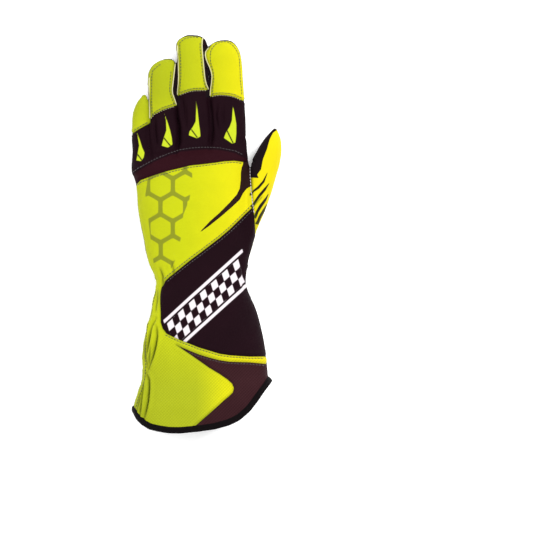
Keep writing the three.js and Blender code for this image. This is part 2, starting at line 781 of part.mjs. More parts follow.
// Grip pads under the palm, as outlines on the hand's chart.
const PALM_PADS = {
  grip_knuckle_little: {
    finish: GREY_GRIP,
    corners: [[0.1, 0.8], [0.23, 0.84], [0.265, 0.78], [0.13, 0.76]],
  },
  grip_knuckle_ring: { finish: GREY_GRIP, corners: [[0.31, 0.87], [0.43, 0.89], [0.47, 0.835], [0.36, 0.8]] },
  grip_knuckle_middle: {
    finish: GREY_GRIP,
    corners: [[0.52, 0.905], [0.72, 0.93], [0.67, 0.85], [0.52, 0.83]],
  },
  grip_knuckle_index: {
    finish: GREY_GRIP,
    corners: [[0.8, 0.93], [0.895, 0.91], [0.86, 0.845], [0.75, 0.845]],
  },
  grip_upper_far: {
    finish: RED_GRIP,
    corners: [
      [0.1, 0.7], [0.15, 0.745], [0.34, 0.766], [0.59, 0.808],
      [0.76, 0.808], [0.61, 0.752], [0.42, 0.71], [0.21, 0.69],
    ],
  },
  grip_upper_near: {
    finish: RED_GRIP,
    corners: [
      [0.1, 0.59], [0.1, 0.655], [0.22, 0.664], [0.44, 0.692],
      [0.64, 0.741], [0.81, 0.78], [0.76, 0.703], [0.47, 0.632],
    ],
  },
  grip_centre: {
    finish: RED_GRIP,
    corners: [
      [0.34, 0.48], [0.415, 0.56], [0.59, 0.59], [0.515, 0.52],
      [0.6, 0.41], [0.51, 0.33], [0.43, 0.36],
    ],
  },
  grip_heel_upper: {
    finish: GREY_GRIP,
    corners: [[0.1, 0.55], [0.18, 0.555], [0.23, 0.436], [0.16, 0.38], [0.11, 0.41]],
  },
  grip_heel_lower: { finish: GREY_GRIP, corners: [[0.12, 0.35], [0.17, 0.34], [0.165, 0.24], [0.13, 0.24]] },
  grip_heel_centre: {
    finish: GREY_GRIP,
    corners: [[0.25, 0.38], [0.4, 0.305], [0.355, 0.23], [0.22, 0.24], [0.22, 0.33]],
  },
  grip_thumb_side_far: { finish: GREY_GRIP, corners: [[0.77, 0.63], [0.88, 0.63], [0.82, 0.585]] },
  grip_thumb_side_centre: {
    finish: GREY_GRIP,
    corners: [[0.672, 0.597], [0.737, 0.555], [0.662, 0.464], [0.593, 0.513]],
  },
  grip_thumb_side_near: {
    finish: GREY_GRIP,
    corners: [[0.786, 0.527], [0.88, 0.57], [0.88, 0.52], [0.761, 0.45]],
  },
};

// A pad lies flat under the glove, with its lower face on the surface that the glove rests on.
function addPad(name, outline, finish) {
  addPiece(name, extruded(outline, PAD_THICKNESS), finish);
}
for (const [name, { finish, corners }] of Object.entries(PALM_PADS)) {
  addPad(name, charted(corners), finish);
}

// Four arrow-shaped pads under each finger: three point to the tip, and the last one points back to the palm.
const ARROW_WIDTH = 0.52; // a share of the finger's width; the arrow's corners are shares of its width
const ARROW = [
  [-0.2, 0],
  [0.2, 0],
  [0.5, -1.05],
  [0.37, -1.05],
  [0, -0.47],
  [-0.37, -1.05],
  [-0.5, -1.05],
];
const ARROW_FINISHES = [GREY_GRIP, GREY_GRIP, RED_GRIP, GREY_GRIP];
for (const spec of FINGERS) {
  const width = ARROW_WIDTH * (spec.sides(0.3).right - spec.sides(0.3).left) * PALM_WIDTH;
  for (const [i, at] of spec.pads.entries()) {
    const ahead = i < spec.pads.length - 1 ? 1 : -1;
    const head = new THREE.Vector2(middleOf(spec, at), PALM_LENGTH + at * spec.length);
    const outline = ARROW.map(([x, y]) => new THREE.Vector2(x, ahead * y).multiplyScalar(width).add(head));
    addPad(`grip_${spec.name}_${i + 1}`, outline, ARROW_FINISHES[i]);
  }
}

// Two narrow pads on the thumb's grip side hug its round. Their corners are shares along and across the thumb.
const THUMB_PADS = {
  grip_thumb_upper: [[0.86, -0.5], [0.9, -0.2], [0.67, -0.3], [0.66, -0.55]],
  grip_thumb_lower: [[0.6, -0.75], [0.63, -0.4], [0.44, -0.5], [0.42, -0.8]],
};
const padSkin = gloveVolume(-GAP - PAD_THICKNESS).subtract(gloveVolume(-GAP));
for (const [name, corners] of Object.entries(THUMB_PADS)) {
  const outline = corners.map(([along, aside]) => flat(thumbPoint(along, aside)));
  addSolid(name, padSkin.intersect(prism(outline, -TALL, thumbMiddle)), GREY_GRIP);
}

// The origin is the centre of the glove's outline seen from above, at the height of the surface it rests on.
const box = new THREE.Box3().setFromObject(glove);
const centre = box.getCenter(new THREE.Vector3());
glove.position.set(-centre.x, -centre.y, -box.min.z);

export default glove;
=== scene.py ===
"""The looks of a left-hand karting glove that lies palm down. Until a piece is made, lengths are millimetres
in the glove's own frame: +X is the thumb's side, +Y the fingertips, +Z up, and the wrist is at y = 0."""

import json
import math

import bpy
import numpy as np
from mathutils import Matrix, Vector, noise
from mathutils.bvhtree import BVHTree


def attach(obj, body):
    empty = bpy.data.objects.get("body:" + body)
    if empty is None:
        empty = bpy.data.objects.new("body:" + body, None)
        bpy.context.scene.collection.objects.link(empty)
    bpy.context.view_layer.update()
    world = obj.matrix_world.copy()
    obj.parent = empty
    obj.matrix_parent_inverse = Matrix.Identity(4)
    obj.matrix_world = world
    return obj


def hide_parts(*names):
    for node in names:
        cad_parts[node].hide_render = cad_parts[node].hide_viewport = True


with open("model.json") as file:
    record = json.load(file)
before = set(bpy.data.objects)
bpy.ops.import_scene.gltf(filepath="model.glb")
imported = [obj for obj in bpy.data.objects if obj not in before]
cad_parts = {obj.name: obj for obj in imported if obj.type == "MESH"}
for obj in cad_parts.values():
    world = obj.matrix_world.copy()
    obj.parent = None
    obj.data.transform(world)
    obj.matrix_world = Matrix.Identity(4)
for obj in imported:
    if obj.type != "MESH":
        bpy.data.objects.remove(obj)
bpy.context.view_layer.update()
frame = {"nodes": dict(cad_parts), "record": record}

# Sizes and section tables, as in the CAD model
PALM_WIDTH, PALM_LENGTH, PALM_HEIGHT = 94, 116, 30
WRIST_WIDTH, WRIST_HEIGHT, WRIST_LIFT = 72.5, 34, 3
CUFF_LENGTH, CUFF_WIDTH, CUFF_HEIGHT = 126, 113, 46
FINGER_HEIGHT = 17
THUMB_LENGTH, THUMB_WIDTH, THUMB_HEIGHT, THUMB_ANGLE = 116.5, 22, 24, math.radians(16)
REST = 1.1  # the height at which the grip pads carry the cloth
CLOTH = 1.6
SHIFT = np.array([-4.070, -39.138, 0])  # from the glove's own frame to the part's frame
VOXEL = 0.8
LEVEL = 0.62  # how much darker a colour is made, because the lights are brighter than 1

# The photograph: millimetres to a pixel, the pixels over the glove's own origin and the part's, and its side
PIXEL = 0.815
OWN_ORIGIN = (201.75, 282)
PART_ORIGIN = (206.75, 233.97)
PHOTO_SIDE = 560


def traced(*numbers):
    """Points that are given as pixels of the photograph, x and y by turns, in millimetres."""
    pixels = zip(numbers[::2], numbers[1::2])
    return [(round((x - OWN_ORIGIN[0]) * PIXEL, 1), round((OWN_ORIGIN[1] - y) * PIXEL, 1)) for x, y in pixels]


# Section tables. The body's columns: along, the palm's and the cuff's share, left and right edge, top, seam,
# lift of the underside, slant. The thumb's: along, width, height, bow.

BODY_ROWS = [
    (-1.08, 0, 1, 0.505, 0.53, 1, 0.45, 0, 0),
    (-0.83, 0, 0.97, 0.496, 0.535, 1, 0.45, 0, 0),
    (-0.72, 0, 0.88, 0.471, 0.556, 1, 0.45, 0, 0),
    (-0.66, 0, 0.82, 0.46, 0.56, 1, 0.45, 0, 0),
    (-0.6, 0, 0.77, 0.457, 0.521, 1, 0.45, 0, 0),
    (-0.467, 0, 0.68, 0.469, 0.526, 1, 0.45, 0.05, 0),
    (-0.363, 0, 0.58, 0.479, 0.526, 1, 0.45, 0.3, 0),
    (-0.26, 0, 0.42, 0.478, 0.533, 1, 0.45, 0.55, 0),
    (-0.156, 0, 0.25, 0.478, 0.528, 1, 0.45, 0.85, 0),
    (-0.1, 0, 0.13, 0.488, 0.518, 1, 0.45, 0.95, 0),
    (-0.055, 0, 0.06, 0.494, 0.508, 1, 0.45, 1, 0),
    (0, 0, 0, 0.5, 0.5, 1, 0.45, 1, 0),
    (0.055, 0.12, 0, 0.51, 0.49, 0.99, 0.45, 0.85, 0),
    (0.1, 0.24, 0, 0.526, 0.478, 0.98, 0.44, 0.7, 0),
    (0.15, 0.38, 0, 0.536, 0.473, 0.98, 0.43, 0.35, 0),
    (0.282, 0.75, 0, 0.529, 0.465, 1, 0.41, 0, 0),
    (0.394, 0.9, 0, 0.541, 0.457, 1.02, 0.4, 0, 0),
    (0.507, 1, 0, 0.551, 0.442, 1.03, 0.4, 0, 0),
    (0.676, 1, 0, 0.568, 0.42, 1, 0.4, 0, 0),
    (0.796, 1, 0, 0.6, 0.412, 0.94, 0.41, 0, 0.02),
    (0.901, 1, 0, 0.602, 0.39, 0.8, 0.44, 0, 0.06),
    (1, 1, 0, 0.598, 0.386, 0.5, 0.5, 0, 0.11),
]
FINGER_HEIGHTS = [
    (-0.8, 1.3), (-0.3, 1.2), (0.1, 1.08), (0.4, 1.0), (0.8, 0.97), (0.93, 0.8), (0.98, 0.52), (1.0, 0.12),
]
# Each finger: its length and its rows of along, left and right edge in palm widths
FINGERS = {
    "index": (81, [
        (-0.3, 0.1, 0.36), (-0.1, 0.089, 0.375), (0.15, 0.078, 0.379), (0.4, 0.076, 0.369),
        (0.6, 0.082, 0.359), (0.72, 0.063, 0.353), (0.82, 0.035, 0.343), (0.89, 0.042, 0.327),
        (0.95, 0.078, 0.297), (0.985, 0.125, 0.262), (1, 0.167, 0.228),
    ]),
    "middle": (85, [
        (-0.3, -0.18, 0.05), (-0.1, -0.189, 0.061), (0.15, -0.199, 0.06), (0.43, -0.206, 0.052),
        (0.62, -0.212, 0.041), (0.81, -0.216, 0.028), (0.85, -0.217, 0.03), (0.91, -0.219, 0.046),
        (0.95, -0.202, 0.034), (0.98, -0.163, 0.008), (1, -0.124, -0.033),
    ]),
    "ring": (66, [
        (-0.36, -0.43, -0.21), (-0.1, -0.45, -0.206), (0.12, -0.452, -0.215), (0.43, -0.456, -0.222),
        (0.61, -0.459, -0.232), (0.8, -0.456, -0.228), (0.885, -0.436, -0.223), (0.95, -0.388, -0.228),
        (0.985, -0.34, -0.245), (1, -0.31, -0.267),
    ]),
    "little": (36, [
        (-0.7, -0.58, -0.461), (0, -0.598, -0.464), (0.33, -0.594, -0.468), (0.56, -0.585, -0.469),
        (0.72, -0.567, -0.471), (0.86, -0.54, -0.475), (0.94, -0.515, -0.483), (1, -0.505, -0.49),
    ]),
}
THUMB_ROWS = [
    (0, 0.6, 0.75, 0),
    (0.223, 0.56, 0.85, 0),
    (0.31, 0.58, 0.9, 0),
    (0.407, 0.7, 0.95, 0.02),
    (0.524, 0.86, 1, 0),
    (0.63, 0.97, 1, -0.04),
    (0.718, 1, 0.97, -0.07),
    (0.815, 0.86, 0.88, -0.05),
    (0.892, 0.66, 0.72, -0.03),
    (0.94, 0.47, 0.52, -0.04),
    (0.98, 0.24, 0.3, -0.06),
    (1, 0.1, 0.14, -0.08),
]


def smooth_table(rows):
    """A function of the first column that gives the other columns, with no overshoot between the rows."""
    rows = np.array(rows, float)
    x, y = rows[:, 0], rows[:, 1:]
    step = np.diff(x)[:, None]
    slope = np.diff(y, axis=0) / step
    tangent = np.zeros_like(y)
    tangent[0], tangent[-1] = slope[0], slope[-1]
    a, b = slope[:-1], slope[1:]
    tangent[1:-1] = np.where(a * b > 0, 2 * a * b / np.where(np.abs(a + b) > 1e-9, a + b, 1), 0)

    def at(key):
        key = np.clip(np.atleast_1d(np.asarray(key, float)), x[0], x[-1])
        i = np.clip(np.searchsorted(x, key) - 1, 0, len(x) - 2)
        h = (x[i + 1] - x[i])[:, None]
        t = (key[:, None] - x[i][:, None]) / h
        near = (2 * t**3 - 3 * t**2 + 1) * y[i] + (t**3 - 2 * t**2 + t) * h * tangent[i]
        return near + (3 * t**2 - 2 * t**3) * y[i + 1] + (t**3 - t**2) * h * tangent[i + 1]

    return at


body_at = smooth_table(BODY_ROWS)
finger_height_at = smooth_table(FINGER_HEIGHTS)
thumb_at = smooth_table(THUMB_ROWS)
finger_sides = {name: smooth_table(rows) for name, (_, rows) in FINGERS.items()}
# How far each finger's left and right side swells to meet its neighbour, and where along it that ends
TOUCH = {
    "index": (1.5, 0.9, 0, 0),
    "middle": (0.9, 0.72, 1.5, 0.92),
    "ring": (0.9, 0.5, 0.9, 0.95),
    "little": (0, 0, 0.9, 0.9),
}


def body_sizes(along):
    """Left and right edge, top, seam, underside and slant of the hand and the cuff at shares along them."""
    palm, cuff, left, right, top, seam, lift, skew = body_at(along).T
    blend = lambda p, c, w: p * palm + c * cuff + w * (1 - palm - cuff)
    width = blend(PALM_WIDTH, CUFF_WIDTH, WRIST_WIDTH)
    height = REST + top * blend(PALM_HEIGHT, CUFF_HEIGHT, WRIST_HEIGHT)
    return -left * width, right * width, height, seam * height, REST + lift * WRIST_LIFT, skew


def along_of(y):
    return np.where(y < 0, y / CUFF_LENGTH, y / PALM_LENGTH)


def chart(across, along):
    """A point of the hand's chart: across runs from 0 at the left edge to 1 at the right edge."""
    left, right = (v[0] for v in body_sizes(along)[:2])
    return left + across * (right - left), along * (CUFF_LENGTH if along < 0 else PALM_LENGTH)


def power(value, exponent):
    return np.sign(value) * np.abs(value) ** exponent


def unit(vectors):
    return vectors / np.maximum(np.linalg.norm(vectors, axis=1, keepdims=True), 1e-12)


def run_of(line):
    """How far each point of a line is from its start, along it."""
    return np.concatenate([[0], np.cumsum(np.linalg.norm(np.diff(line, axis=0), axis=1))])


def ring_faces(n, m, close=False):
    """Faces between n rings of m points, and from the last ring back to the first if close."""
    i = np.arange(m)
    j = (i + 1) % m
    faces = []
    for k in range(n if close else n - 1):
        a, b = k * m, (k + 1) % n * m
        faces += np.column_stack([a + i, b + i, b + j, a + j]).tolist()
    return faces


def loft(rings):
    """Vertices and faces of a closed skin over rings of equally many points."""
    rings = np.array(rings)
    n, m = rings.shape[:2]
    verts = np.vstack([rings.reshape(-1, 3), rings[0].mean(0), rings[-1].mean(0)])
    faces = [face[:1] + face[:0:-1] for face in ring_faces(n, m)]
    faces += [[n * m, (i + 1) % m, i] for i in range(m)]
    faces += [[n * m + 1, (n - 1) * m + i, (n - 1) * m + (i + 1) % m] for i in range(m)]
    return verts, faces


def body_loft():
    top = np.linspace(0, math.pi, 48, endpoint=False)
    low = np.linspace(math.pi, 2 * math.pi, 56, endpoint=False)
    rings = []
    for along in np.linspace(1.0, BODY_ROWS[0][0], 150):
        left, right, height, seam, under, skew = (v[0] for v in body_sizes(along))
        y = along * (CUFF_LENGTH if along < 0 else PALM_LENGTH)
        middle, half = (left + right) / 2, (right - left) / 2
        halves = [(a, 2.3, height - seam) for a in top] + [(a, 2.7, seam - under + 4) for a in low]
        ring = []
        for angle, exponent, reach in halves:
            across = power(math.cos(angle), 2 / exponent)
            z = seam + reach * power(math.sin(angle), 2 / exponent)
            ring.append((middle + half * across, y - skew * (1 - across) * half, max(z, under)))
        rings.append(ring)
    return loft(rings)


def finger_loft(name):
    length, rows = FINGERS[name]
    angles = np.linspace(0, 2 * math.pi, 44, endpoint=False)
    cosine, sine = power(np.cos(angles), 2 / 2.4), power(np.sin(angles), 2 / 2.4)
    rings = []
    for along in 1 - np.linspace(0, 1, 90) ** 1.6 * (1 - rows[0][0]):
        left, right = finger_sides[name](along)[0] * PALM_WIDTH
        more_left, end_left, more_right, end_right = TOUCH[name]
        left -= more_left * float(np.clip((end_left - along) / 0.12, 0, 1))
        right += more_right * float(np.clip((end_right - along) / 0.12, 0, 1))
        height = finger_height_at(along)[0][0] * FINGER_HEIGHT
        z = REST + 0.43 * (0.6 * FINGER_HEIGHT + 0.4 * min(height, FINGER_HEIGHT)) + height / 2 * sine
        x = (left + right) / 2 + (right - left) / 2 * cosine
        rings.append(np.column_stack([x, np.full_like(x, PALM_LENGTH + along * length), np.maximum(z, REST)]))
    return loft(rings)


HEADING = np.array([math.sin(THUMB_ANGLE), math.cos(THUMB_ANGLE)])
ASIDE = np.array([HEADING[1], -HEADING[0]])
THUMB_ROOT = np.array([0.3165 * PALM_WIDTH, 0.113 * PALM_LENGTH])


def thumb_loft():
    angles = np.linspace(0, 2 * math.pi, 44, endpoint=False)
    cosine, sine = power(np.cos(angles), 2 / 2.3), power(np.sin(angles), 2 / 2.3)
    rings = []
    for along in 1 - np.linspace(0, 1, 90) ** 1.5:
        width, height, bow = thumb_at(along)[0] * (THUMB_WIDTH, THUMB_HEIGHT, THUMB_WIDTH)
        flat = THUMB_ROOT + HEADING * along * THUMB_LENGTH + np.outer(bow + width / 2 * cosine, ASIDE)
        z = REST + 0.54 * THUMB_HEIGHT + height / 2 * sine
        rings.append(np.column_stack([flat, np.maximum(z, REST)]))
    return loft(rings)


def mesh_object(name, verts, faces):
    mesh = bpy.data.meshes.new(name)
    mesh.from_pydata(np.asarray(verts).tolist(), [], faces)
    mesh.update()
    piece = bpy.data.objects.new(name, mesh)
    bpy.context.scene.collection.objects.link(piece)
    return piece


def gather_parts(parts):
    """Many pairs of vertices and faces as one pair."""
    verts, faces, start = [], [], 0
    for v, f in parts:
        verts.append(v)
        faces += [[start + i for i in face] for face in f]
        start += len(v)
    return np.vstack(verts), faces


def union_skin():
    """One closed skin round all the lofts, as vertices and triangles."""
    lofts = [body_loft(), thumb_loft()] + [finger_loft(name) for name in FINGERS]
    piece = mesh_object("whole", *gather_parts(lofts))
    remesh = piece.modifiers.new("remesh", "REMESH")
    remesh.mode, remesh.voxel_size, remesh.adaptivity = "VOXEL", VOXEL, 0
    done = piece.evaluated_get(bpy.context.evaluated_depsgraph_get()).to_mesh()
    done.calc_loop_triangles()
    points = np.empty(len(done.vertices) * 3)
    done.vertices.foreach_get("co", points)
    triangles = np.empty(len(done.loop_triangles) * 3, int)
    done.loop_triangles.foreach_get("vertices", triangles)
    bpy.data.objects.remove(piece)
    return points.reshape(-1, 3), triangles.reshape(-1, 3)


def sides_of(triangles):
    return np.vstack([triangles[:, [0, 1]], triangles[:, [1, 2]], triangles[:, [2, 0]]])


def edges_of(triangles):
    return np.unique(np.sort(sides_of(triangles), axis=1), axis=0)


def relax(points, edges, weight, rounds):
    """Moves each point towards the mean of its neighbours, by weight: one number, or one for each point."""
    count = np.bincount(edges.ravel(), minlength=len(points))[:, None]
    weight = np.asarray(weight, float).reshape(-1, 1)
    for _ in range(rounds):
        total = np.zeros_like(points)
        np.add.at(total, edges[:, 0], points[edges[:, 1]])
        np.add.at(total, edges[:, 1], points[edges[:, 0]])
        points = points + weight * (total / np.maximum(count, 1) - points)
    return points


def normals_of(points, triangles):
    a, b, c = (points[triangles[:, i]] for i in range(3))
    face = np.cross(b - a, c - a)
    normals = np.zeros_like(points)
    for i in range(3):
        np.add.at(normals, triangles[:, i], face)
    return unit(normals)


def line_distance(points, line):
    """Distance seen from above from points to an open line, and the share of it where it is nearest."""
    line = np.array(line, float)
    best, where, run = np.full(len(points), 1e9), np.zeros(len(points)), 0.0
    for a, b in zip(line[:-1], line[1:]):
        d = b - a
        length = np.linalg.norm(d)
        t = np.clip(((points[:, :2] - a) @ d) / max(length**2, 1e-9), 0, 1)
        gap = np.linalg.norm(points[:, :2] - a - t[:, None] * d, axis=1)
        near = gap < best
        best[near], where[near] = gap[near], run + t[near] * length
        run += length
    return best, where / run


def inside(points, outline):
    """Signed distance seen from above to a closed outline, under 0 inside it."""
    outline = np.array(outline, float)
    best, _ = line_distance(points, np.vstack([outline, outline[:1]]))
    x, y = points[:, 0], points[:, 1]
    odd = np.zeros(len(points), bool)
    for (x1, y1), (x2, y2) in zip(outline, np.roll(outline, -1, axis=0)):
        crossing = (y1 > y) != (y2 > y)
        odd ^= crossing & (x < (x2 - x1) * (y - y1) / (y2 - y1 + 1e-12) + x1)
    return np.where(odd, -best, best)


def clip(verts, triangles, field):
    """Splits triangles where the field is 0. Gives all vertices, and the triangles under and over 0."""
    least = 0.02
    field = np.where(np.abs(field) < least, np.where(field < 0, -least, least), field)
    under = field[triangles] < 0
    count = under.sum(1)
    low, high = [triangles[count == 3]], [triangles[count == 0]]
    split = []  # the corners, from the odd one on, of the triangles with one corner under 0, and with two
    for number in (1, 2):
        some, flags = triangles[count == number], under[count == number]
        odd = np.argmax(flags if number == 1 else ~flags, axis=1)
        split.append([some[np.arange(len(some)), (odd + k) % 3] for k in range(3)])
    keys = [np.sort(np.column_stack([corners[0], corners[k]]), axis=1) for corners in split for k in (1, 2)]
    keys, index = np.unique(np.vstack(keys), axis=0, return_inverse=True)
    index = index.ravel() + len(verts)
    f0, f1 = field[keys].T
    t = (f0 / (f0 - f1))[:, None]
    new = verts[keys[:, 0]] * (1 - t) + verts[keys[:, 1]] * t
    start = 0
    for (a, b, c), own, other in zip(split, (low, high), (high, low)):
        n = len(a)
        u, v = index[start : start + n], index[start + n : start + 2 * n]
        start += 2 * n
        own.append(np.column_stack([a, u, v]))
        other += [np.column_stack([u, b, c]), np.column_stack([u, c, v])]
    return np.vstack([verts, new]), np.vstack(low), np.vstack(high)


def border(triangles):
    """The directed edges that only one triangle has."""
    pairs = sides_of(triangles)
    size = triangles.max() + 1
    key, back = pairs[:, 0] * size + pairs[:, 1], pairs[:, 1] * size + pairs[:, 0]
    return pairs[~np.isin(key, back)]


# Lines and outlines seen from above, in millimetres
BAND_LOWER = traced(
    125, 191, 137, 184, 141, 180.5, 150, 177.5, 160, 174, 170, 171, 180, 168.5, 190, 166, 200, 165, 215, 163,
    225, 161.5, 235, 161, 243, 162, 254, 162
)
TIER = traced(
    128, 180, 134, 175, 140, 171, 150, 165.5, 160, 160.5, 170, 156.5, 180, 153, 190, 151.3, 200, 150.5,
    210, 150.4, 220, 151, 235, 154, 243, 158, 252, 162
)
FINGER_BACKS = {
    "little": traced(
        120, 141, 133, 134, 139, 130, 146, 126, 151, 123.5, 150.5, 108, 149.5, 96, 148.5, 88, 120, 88
    ),
    "ring": traced(
        150.2, 119.5, 155, 114.5, 163, 110.5, 172, 107.5, 177.3, 105.8, 175, 100, 173, 95, 172.2, 91,
        173.2, 82, 174, 75, 175, 67, 176.2, 61, 174, 54, 172, 50, 144, 50, 147, 93, 149.5, 98, 150, 108
    ),
    "middle": traced(
        177.4, 96.4, 180, 95.5, 185, 93.5, 190, 91.8, 195, 91, 200, 90.8, 208.3, 90.5, 206.2, 85.5, 205.1, 80,
        204.4, 74, 203.8, 68, 203.2, 60, 202.6, 54, 202.2, 48, 202.3, 42, 203, 37, 203, 28, 170, 28, 173, 48,
        177.7, 55, 178.4, 62, 178.7, 69, 178.9, 77, 178.5, 84, 177.7, 90
    ),
    "index": traced(
        210, 97.4, 215, 96, 220, 95.5, 225, 95.8, 230, 96.3, 235, 97.6, 240, 100, 243.5, 101.3, 256, 106,
        256, 28, 214, 28, 211, 43, 208.7, 48.3, 206.3, 50.8, 205.2, 53.3, 205, 56, 206.4, 60, 208, 64,
        210, 68.5, 211.5, 73, 212.1, 77, 211.8, 82, 211, 88, 210.4, 92
    ),
}
DIAGONAL = traced(
    262, 198, 253, 207, 248, 212, 240, 220, 230, 230, 220, 238.5, 210, 246, 200, 253.5, 190, 261, 180, 269,
    170, 277, 165, 282, 162, 287, 161, 295, 161, 322, 163, 328, 167, 333
)
CUFF_SEAM = traced(
    167, 333, 175, 337, 182, 340, 190, 343, 200, 347, 210, 350, 220, 353, 230, 354.5, 250, 356, 266, 356,
    290, 356
)
TRIM_LOWER = traced(
    177, 344.5, 190, 350, 200, 354, 210, 357, 220, 359.5, 230, 361, 250, 361.8, 266, 363.5, 290, 365
)
WEDGE_EDGE = traced(
    177, 344.5, 190, 353, 200, 360, 210, 367, 220, 373, 228, 378.5, 232.5, 382.5, 234.5, 387, 233.5, 391.5,
    230, 395, 225, 399, 215, 408, 205, 417, 197, 424, 186, 434
)
STRIPE = traced(
    246, 158, 243.5, 163, 242, 168, 241.3, 173, 241.3, 180, 240, 189, 237, 195, 230, 203, 220, 213, 210, 222,
    199, 233.8, 210, 226, 222, 216.3, 232, 207.5, 240, 200, 243.5, 193.5, 247, 189, 254, 184, 256, 158
)
THUMB_SEAM = traced(
    250, 161, 250, 170, 250.2, 178, 251, 190, 252, 200, 253, 207, 254.3, 215, 255, 223, 255.5, 233
)
THUMB_BACK = traced(
    284, 122, 281, 127, 273, 133.5, 270, 140, 267, 150, 263, 160, 261, 170, 257, 175, 258.5, 178.5, 250, 178
) + THUMB_SEAM[3:] + traced(262, 237, 300, 200, 300, 122)
THUMB_STRIPES = [
    traced(250, 193.5, 253, 191, 258, 187, 263, 181.5, 267.5, 173.5, 264.5, 182.5, 259, 188.8, 254, 192,
           250, 196),
    traced(251, 206, 254, 202.5, 259, 195, 264, 189.5, 269.5, 184, 265.5, 190.8, 260.5, 196.5, 256, 203,
           252, 209),
    traced(254.3, 217, 256, 212, 259.5, 205.5, 263.5, 200.5, 268.5, 194.5, 265.8, 200.8, 261.5, 207,
           258, 212.5, 255.5, 219),
    traced(255.6, 224, 258, 217.5, 262, 211, 266.5, 204.5, 264.5, 211, 260.5, 217.5, 257.2, 224.5),
]
SPIKES = [
    traced(138, 133.5, 140.5, 141, 142.5, 148, 144.7, 153.5, 144.6, 158.3, 142, 162, 137.3, 161, 138.6, 154,
           139.8, 146),
    traced(165, 114.5, 167.6, 122, 170.2, 131, 171.6, 138, 172.2, 145.2, 168.2, 148.2, 162.3, 146.3,
           164.1, 139, 166.6, 131, 166.4, 122),
    traced(196.5, 101.5, 197.8, 111, 199.2, 124, 200.2, 131, 200.6, 137, 197.2, 138.8, 189.2, 135.8, 190, 132,
           193.2, 127.5, 196, 122, 196.4, 112),
    traced(233, 106.5, 234.6, 115, 236.2, 125, 236.2, 134, 235.2, 143, 232.2, 144.2, 224.2, 138.4, 226, 133.5,
           230, 127, 232, 121, 232.6, 113),
]
SLITS = [
    traced(137, 153, 144.5, 163.5),
    traced(162.8, 136.6, 171.5, 147.6),
    traced(190, 127.8, 198.7, 139.6),
    traced(226, 128.6, 233.7, 145),
]
HEM = [
    (-60, -95.5), (-56.4, -105.5), (-52.7, -112.5), (-47.8, -116.6), (-42, -119.8), (-34, -121.5),
    (-26, -122.6), (-17, -122.7), (-1.5, -121.2), (10.8, -119.5), (23, -116.2), (31, -112.5),
    (39.3, -105.6), (45.5, -97.8), (50.5, -90.5), (55.5, -84), (62, -75),
]
HEM_TUCK = 1.1  # the cloth ends this far inside the hem, in its binding
PUCKERS = [(traced(*line), depth, width) for depth, width, *line in (  # fold lines
    (1.4, 1.3, 157, 318, 152.5, 326, 150.5, 336, 149, 346, 148, 356, 148.2, 368),
    (1.6, 1.3, 157, 326, 157.5, 336, 156, 346, 153.5, 356, 151, 364, 148.6, 371),
    (1.7, 1.3, 147, 372, 149.4, 379, 149.6, 388, 148.5, 400, 146.5, 410, 144, 419),
    (1.3, 1.2, 144.5, 384, 143.5, 392, 142, 402, 140.6, 414),
    (1.2, 1.2, 147, 328, 146.2, 340, 145.5, 350, 146.3, 361),
    (0.8, 1.0, 152.5, 346, 151.5, 354, 149.6, 364),
    (0.8, 1.0, 141, 396, 139, 404, 137.5, 411),
    (0.9, 1.2, 153, 300, 152, 310, 149.5, 320),
    (0.7, 1.3, 158.5, 290, 158, 300, 156.5, 312),
    (0.6, 1.6, 172, 262, 174, 272, 173, 281),
    (0.8, 1.6, 160, 268, 163, 277, 163, 287),
    (0.8, 2.2, 241, 262, 244, 272, 243.5, 282, 246, 292),
    (1.5, 2.0, 177, 112, 179.5, 126, 179, 142, 176, 156),
    (1.5, 2.0, 209, 99, 211.5, 112, 212.5, 130, 210, 150),
    (1.0, 1.6, 182.5, 99, 184, 112, 185, 128),
    (1.0, 1.6, 217, 104, 216, 116, 218.5, 132),
    (0.5, 1.5, 186, 103, 187, 116, 186, 130),
    (0.5, 1.5, 224, 104, 223, 116, 223, 128),
    (1.1, 1.6, 155, 119, 155.5, 132, 157, 146),
    (0.7, 1.5, 151, 150, 152, 158, 151, 166),
    (0.4, 1.5, 140, 136, 141, 140),
)]


def seam_height(y):
    """The height of the side seam, above which the glove's back is, and below which its palm is."""
    seam = body_sizes(along_of(y))[3]
    finger = REST + 0.6 * FINGER_HEIGHT
    share = np.clip((y - 0.9 * PALM_LENGTH) / (0.16 * PALM_LENGTH), 0, 1)
    return seam * (1 - share) + finger * share


def hem_field(p):
    """Under 0 past the hem."""
    hem = np.array(HEM)
    y = np.interp(p[:, 0], hem[:, 0], hem[:, 1])
    slope = np.gradient(hem[:, 1], hem[:, 0])
    return (p[:, 1] - y) / np.sqrt(1 + np.interp(p[:, 0], hem[:, 0], slope) ** 2)


def side_of(p, line):
    """Signed distance to an open line near it, and 3 elsewhere."""
    line = np.array(line, float)
    gap, share = line_distance(p, line)
    run = run_of(line)
    i = np.clip(np.searchsorted(run, share * run[-1]) - 1, 0, len(line) - 2)
    d, e = line[i + 1] - line[i], p[:, :2] - line[i]
    ends = (share > 0.001) & (share < 0.999) & (gap < 3)
    return np.where(ends, np.where(d[:, 0] * e[:, 1] - d[:, 1] * e[:, 0] < 0, -gap, gap), 3)


points, triangles = union_skin()
edges = edges_of(triangles)
points = relax(points, edges, 0.5, 4)
knuckles = np.clip(1 - np.abs(points[:, 1] - 112) / 16, 0, 1) * (points[:, 2] > 12)
root = np.clip(1 - np.linalg.norm(points[:, :2] - (40, 70), axis=1) / 26, 0, 1) * (points[:, 2] > 8)
points = relax(points, edges, 0.55 * np.maximum(knuckles, root) ** 0.5, 40)

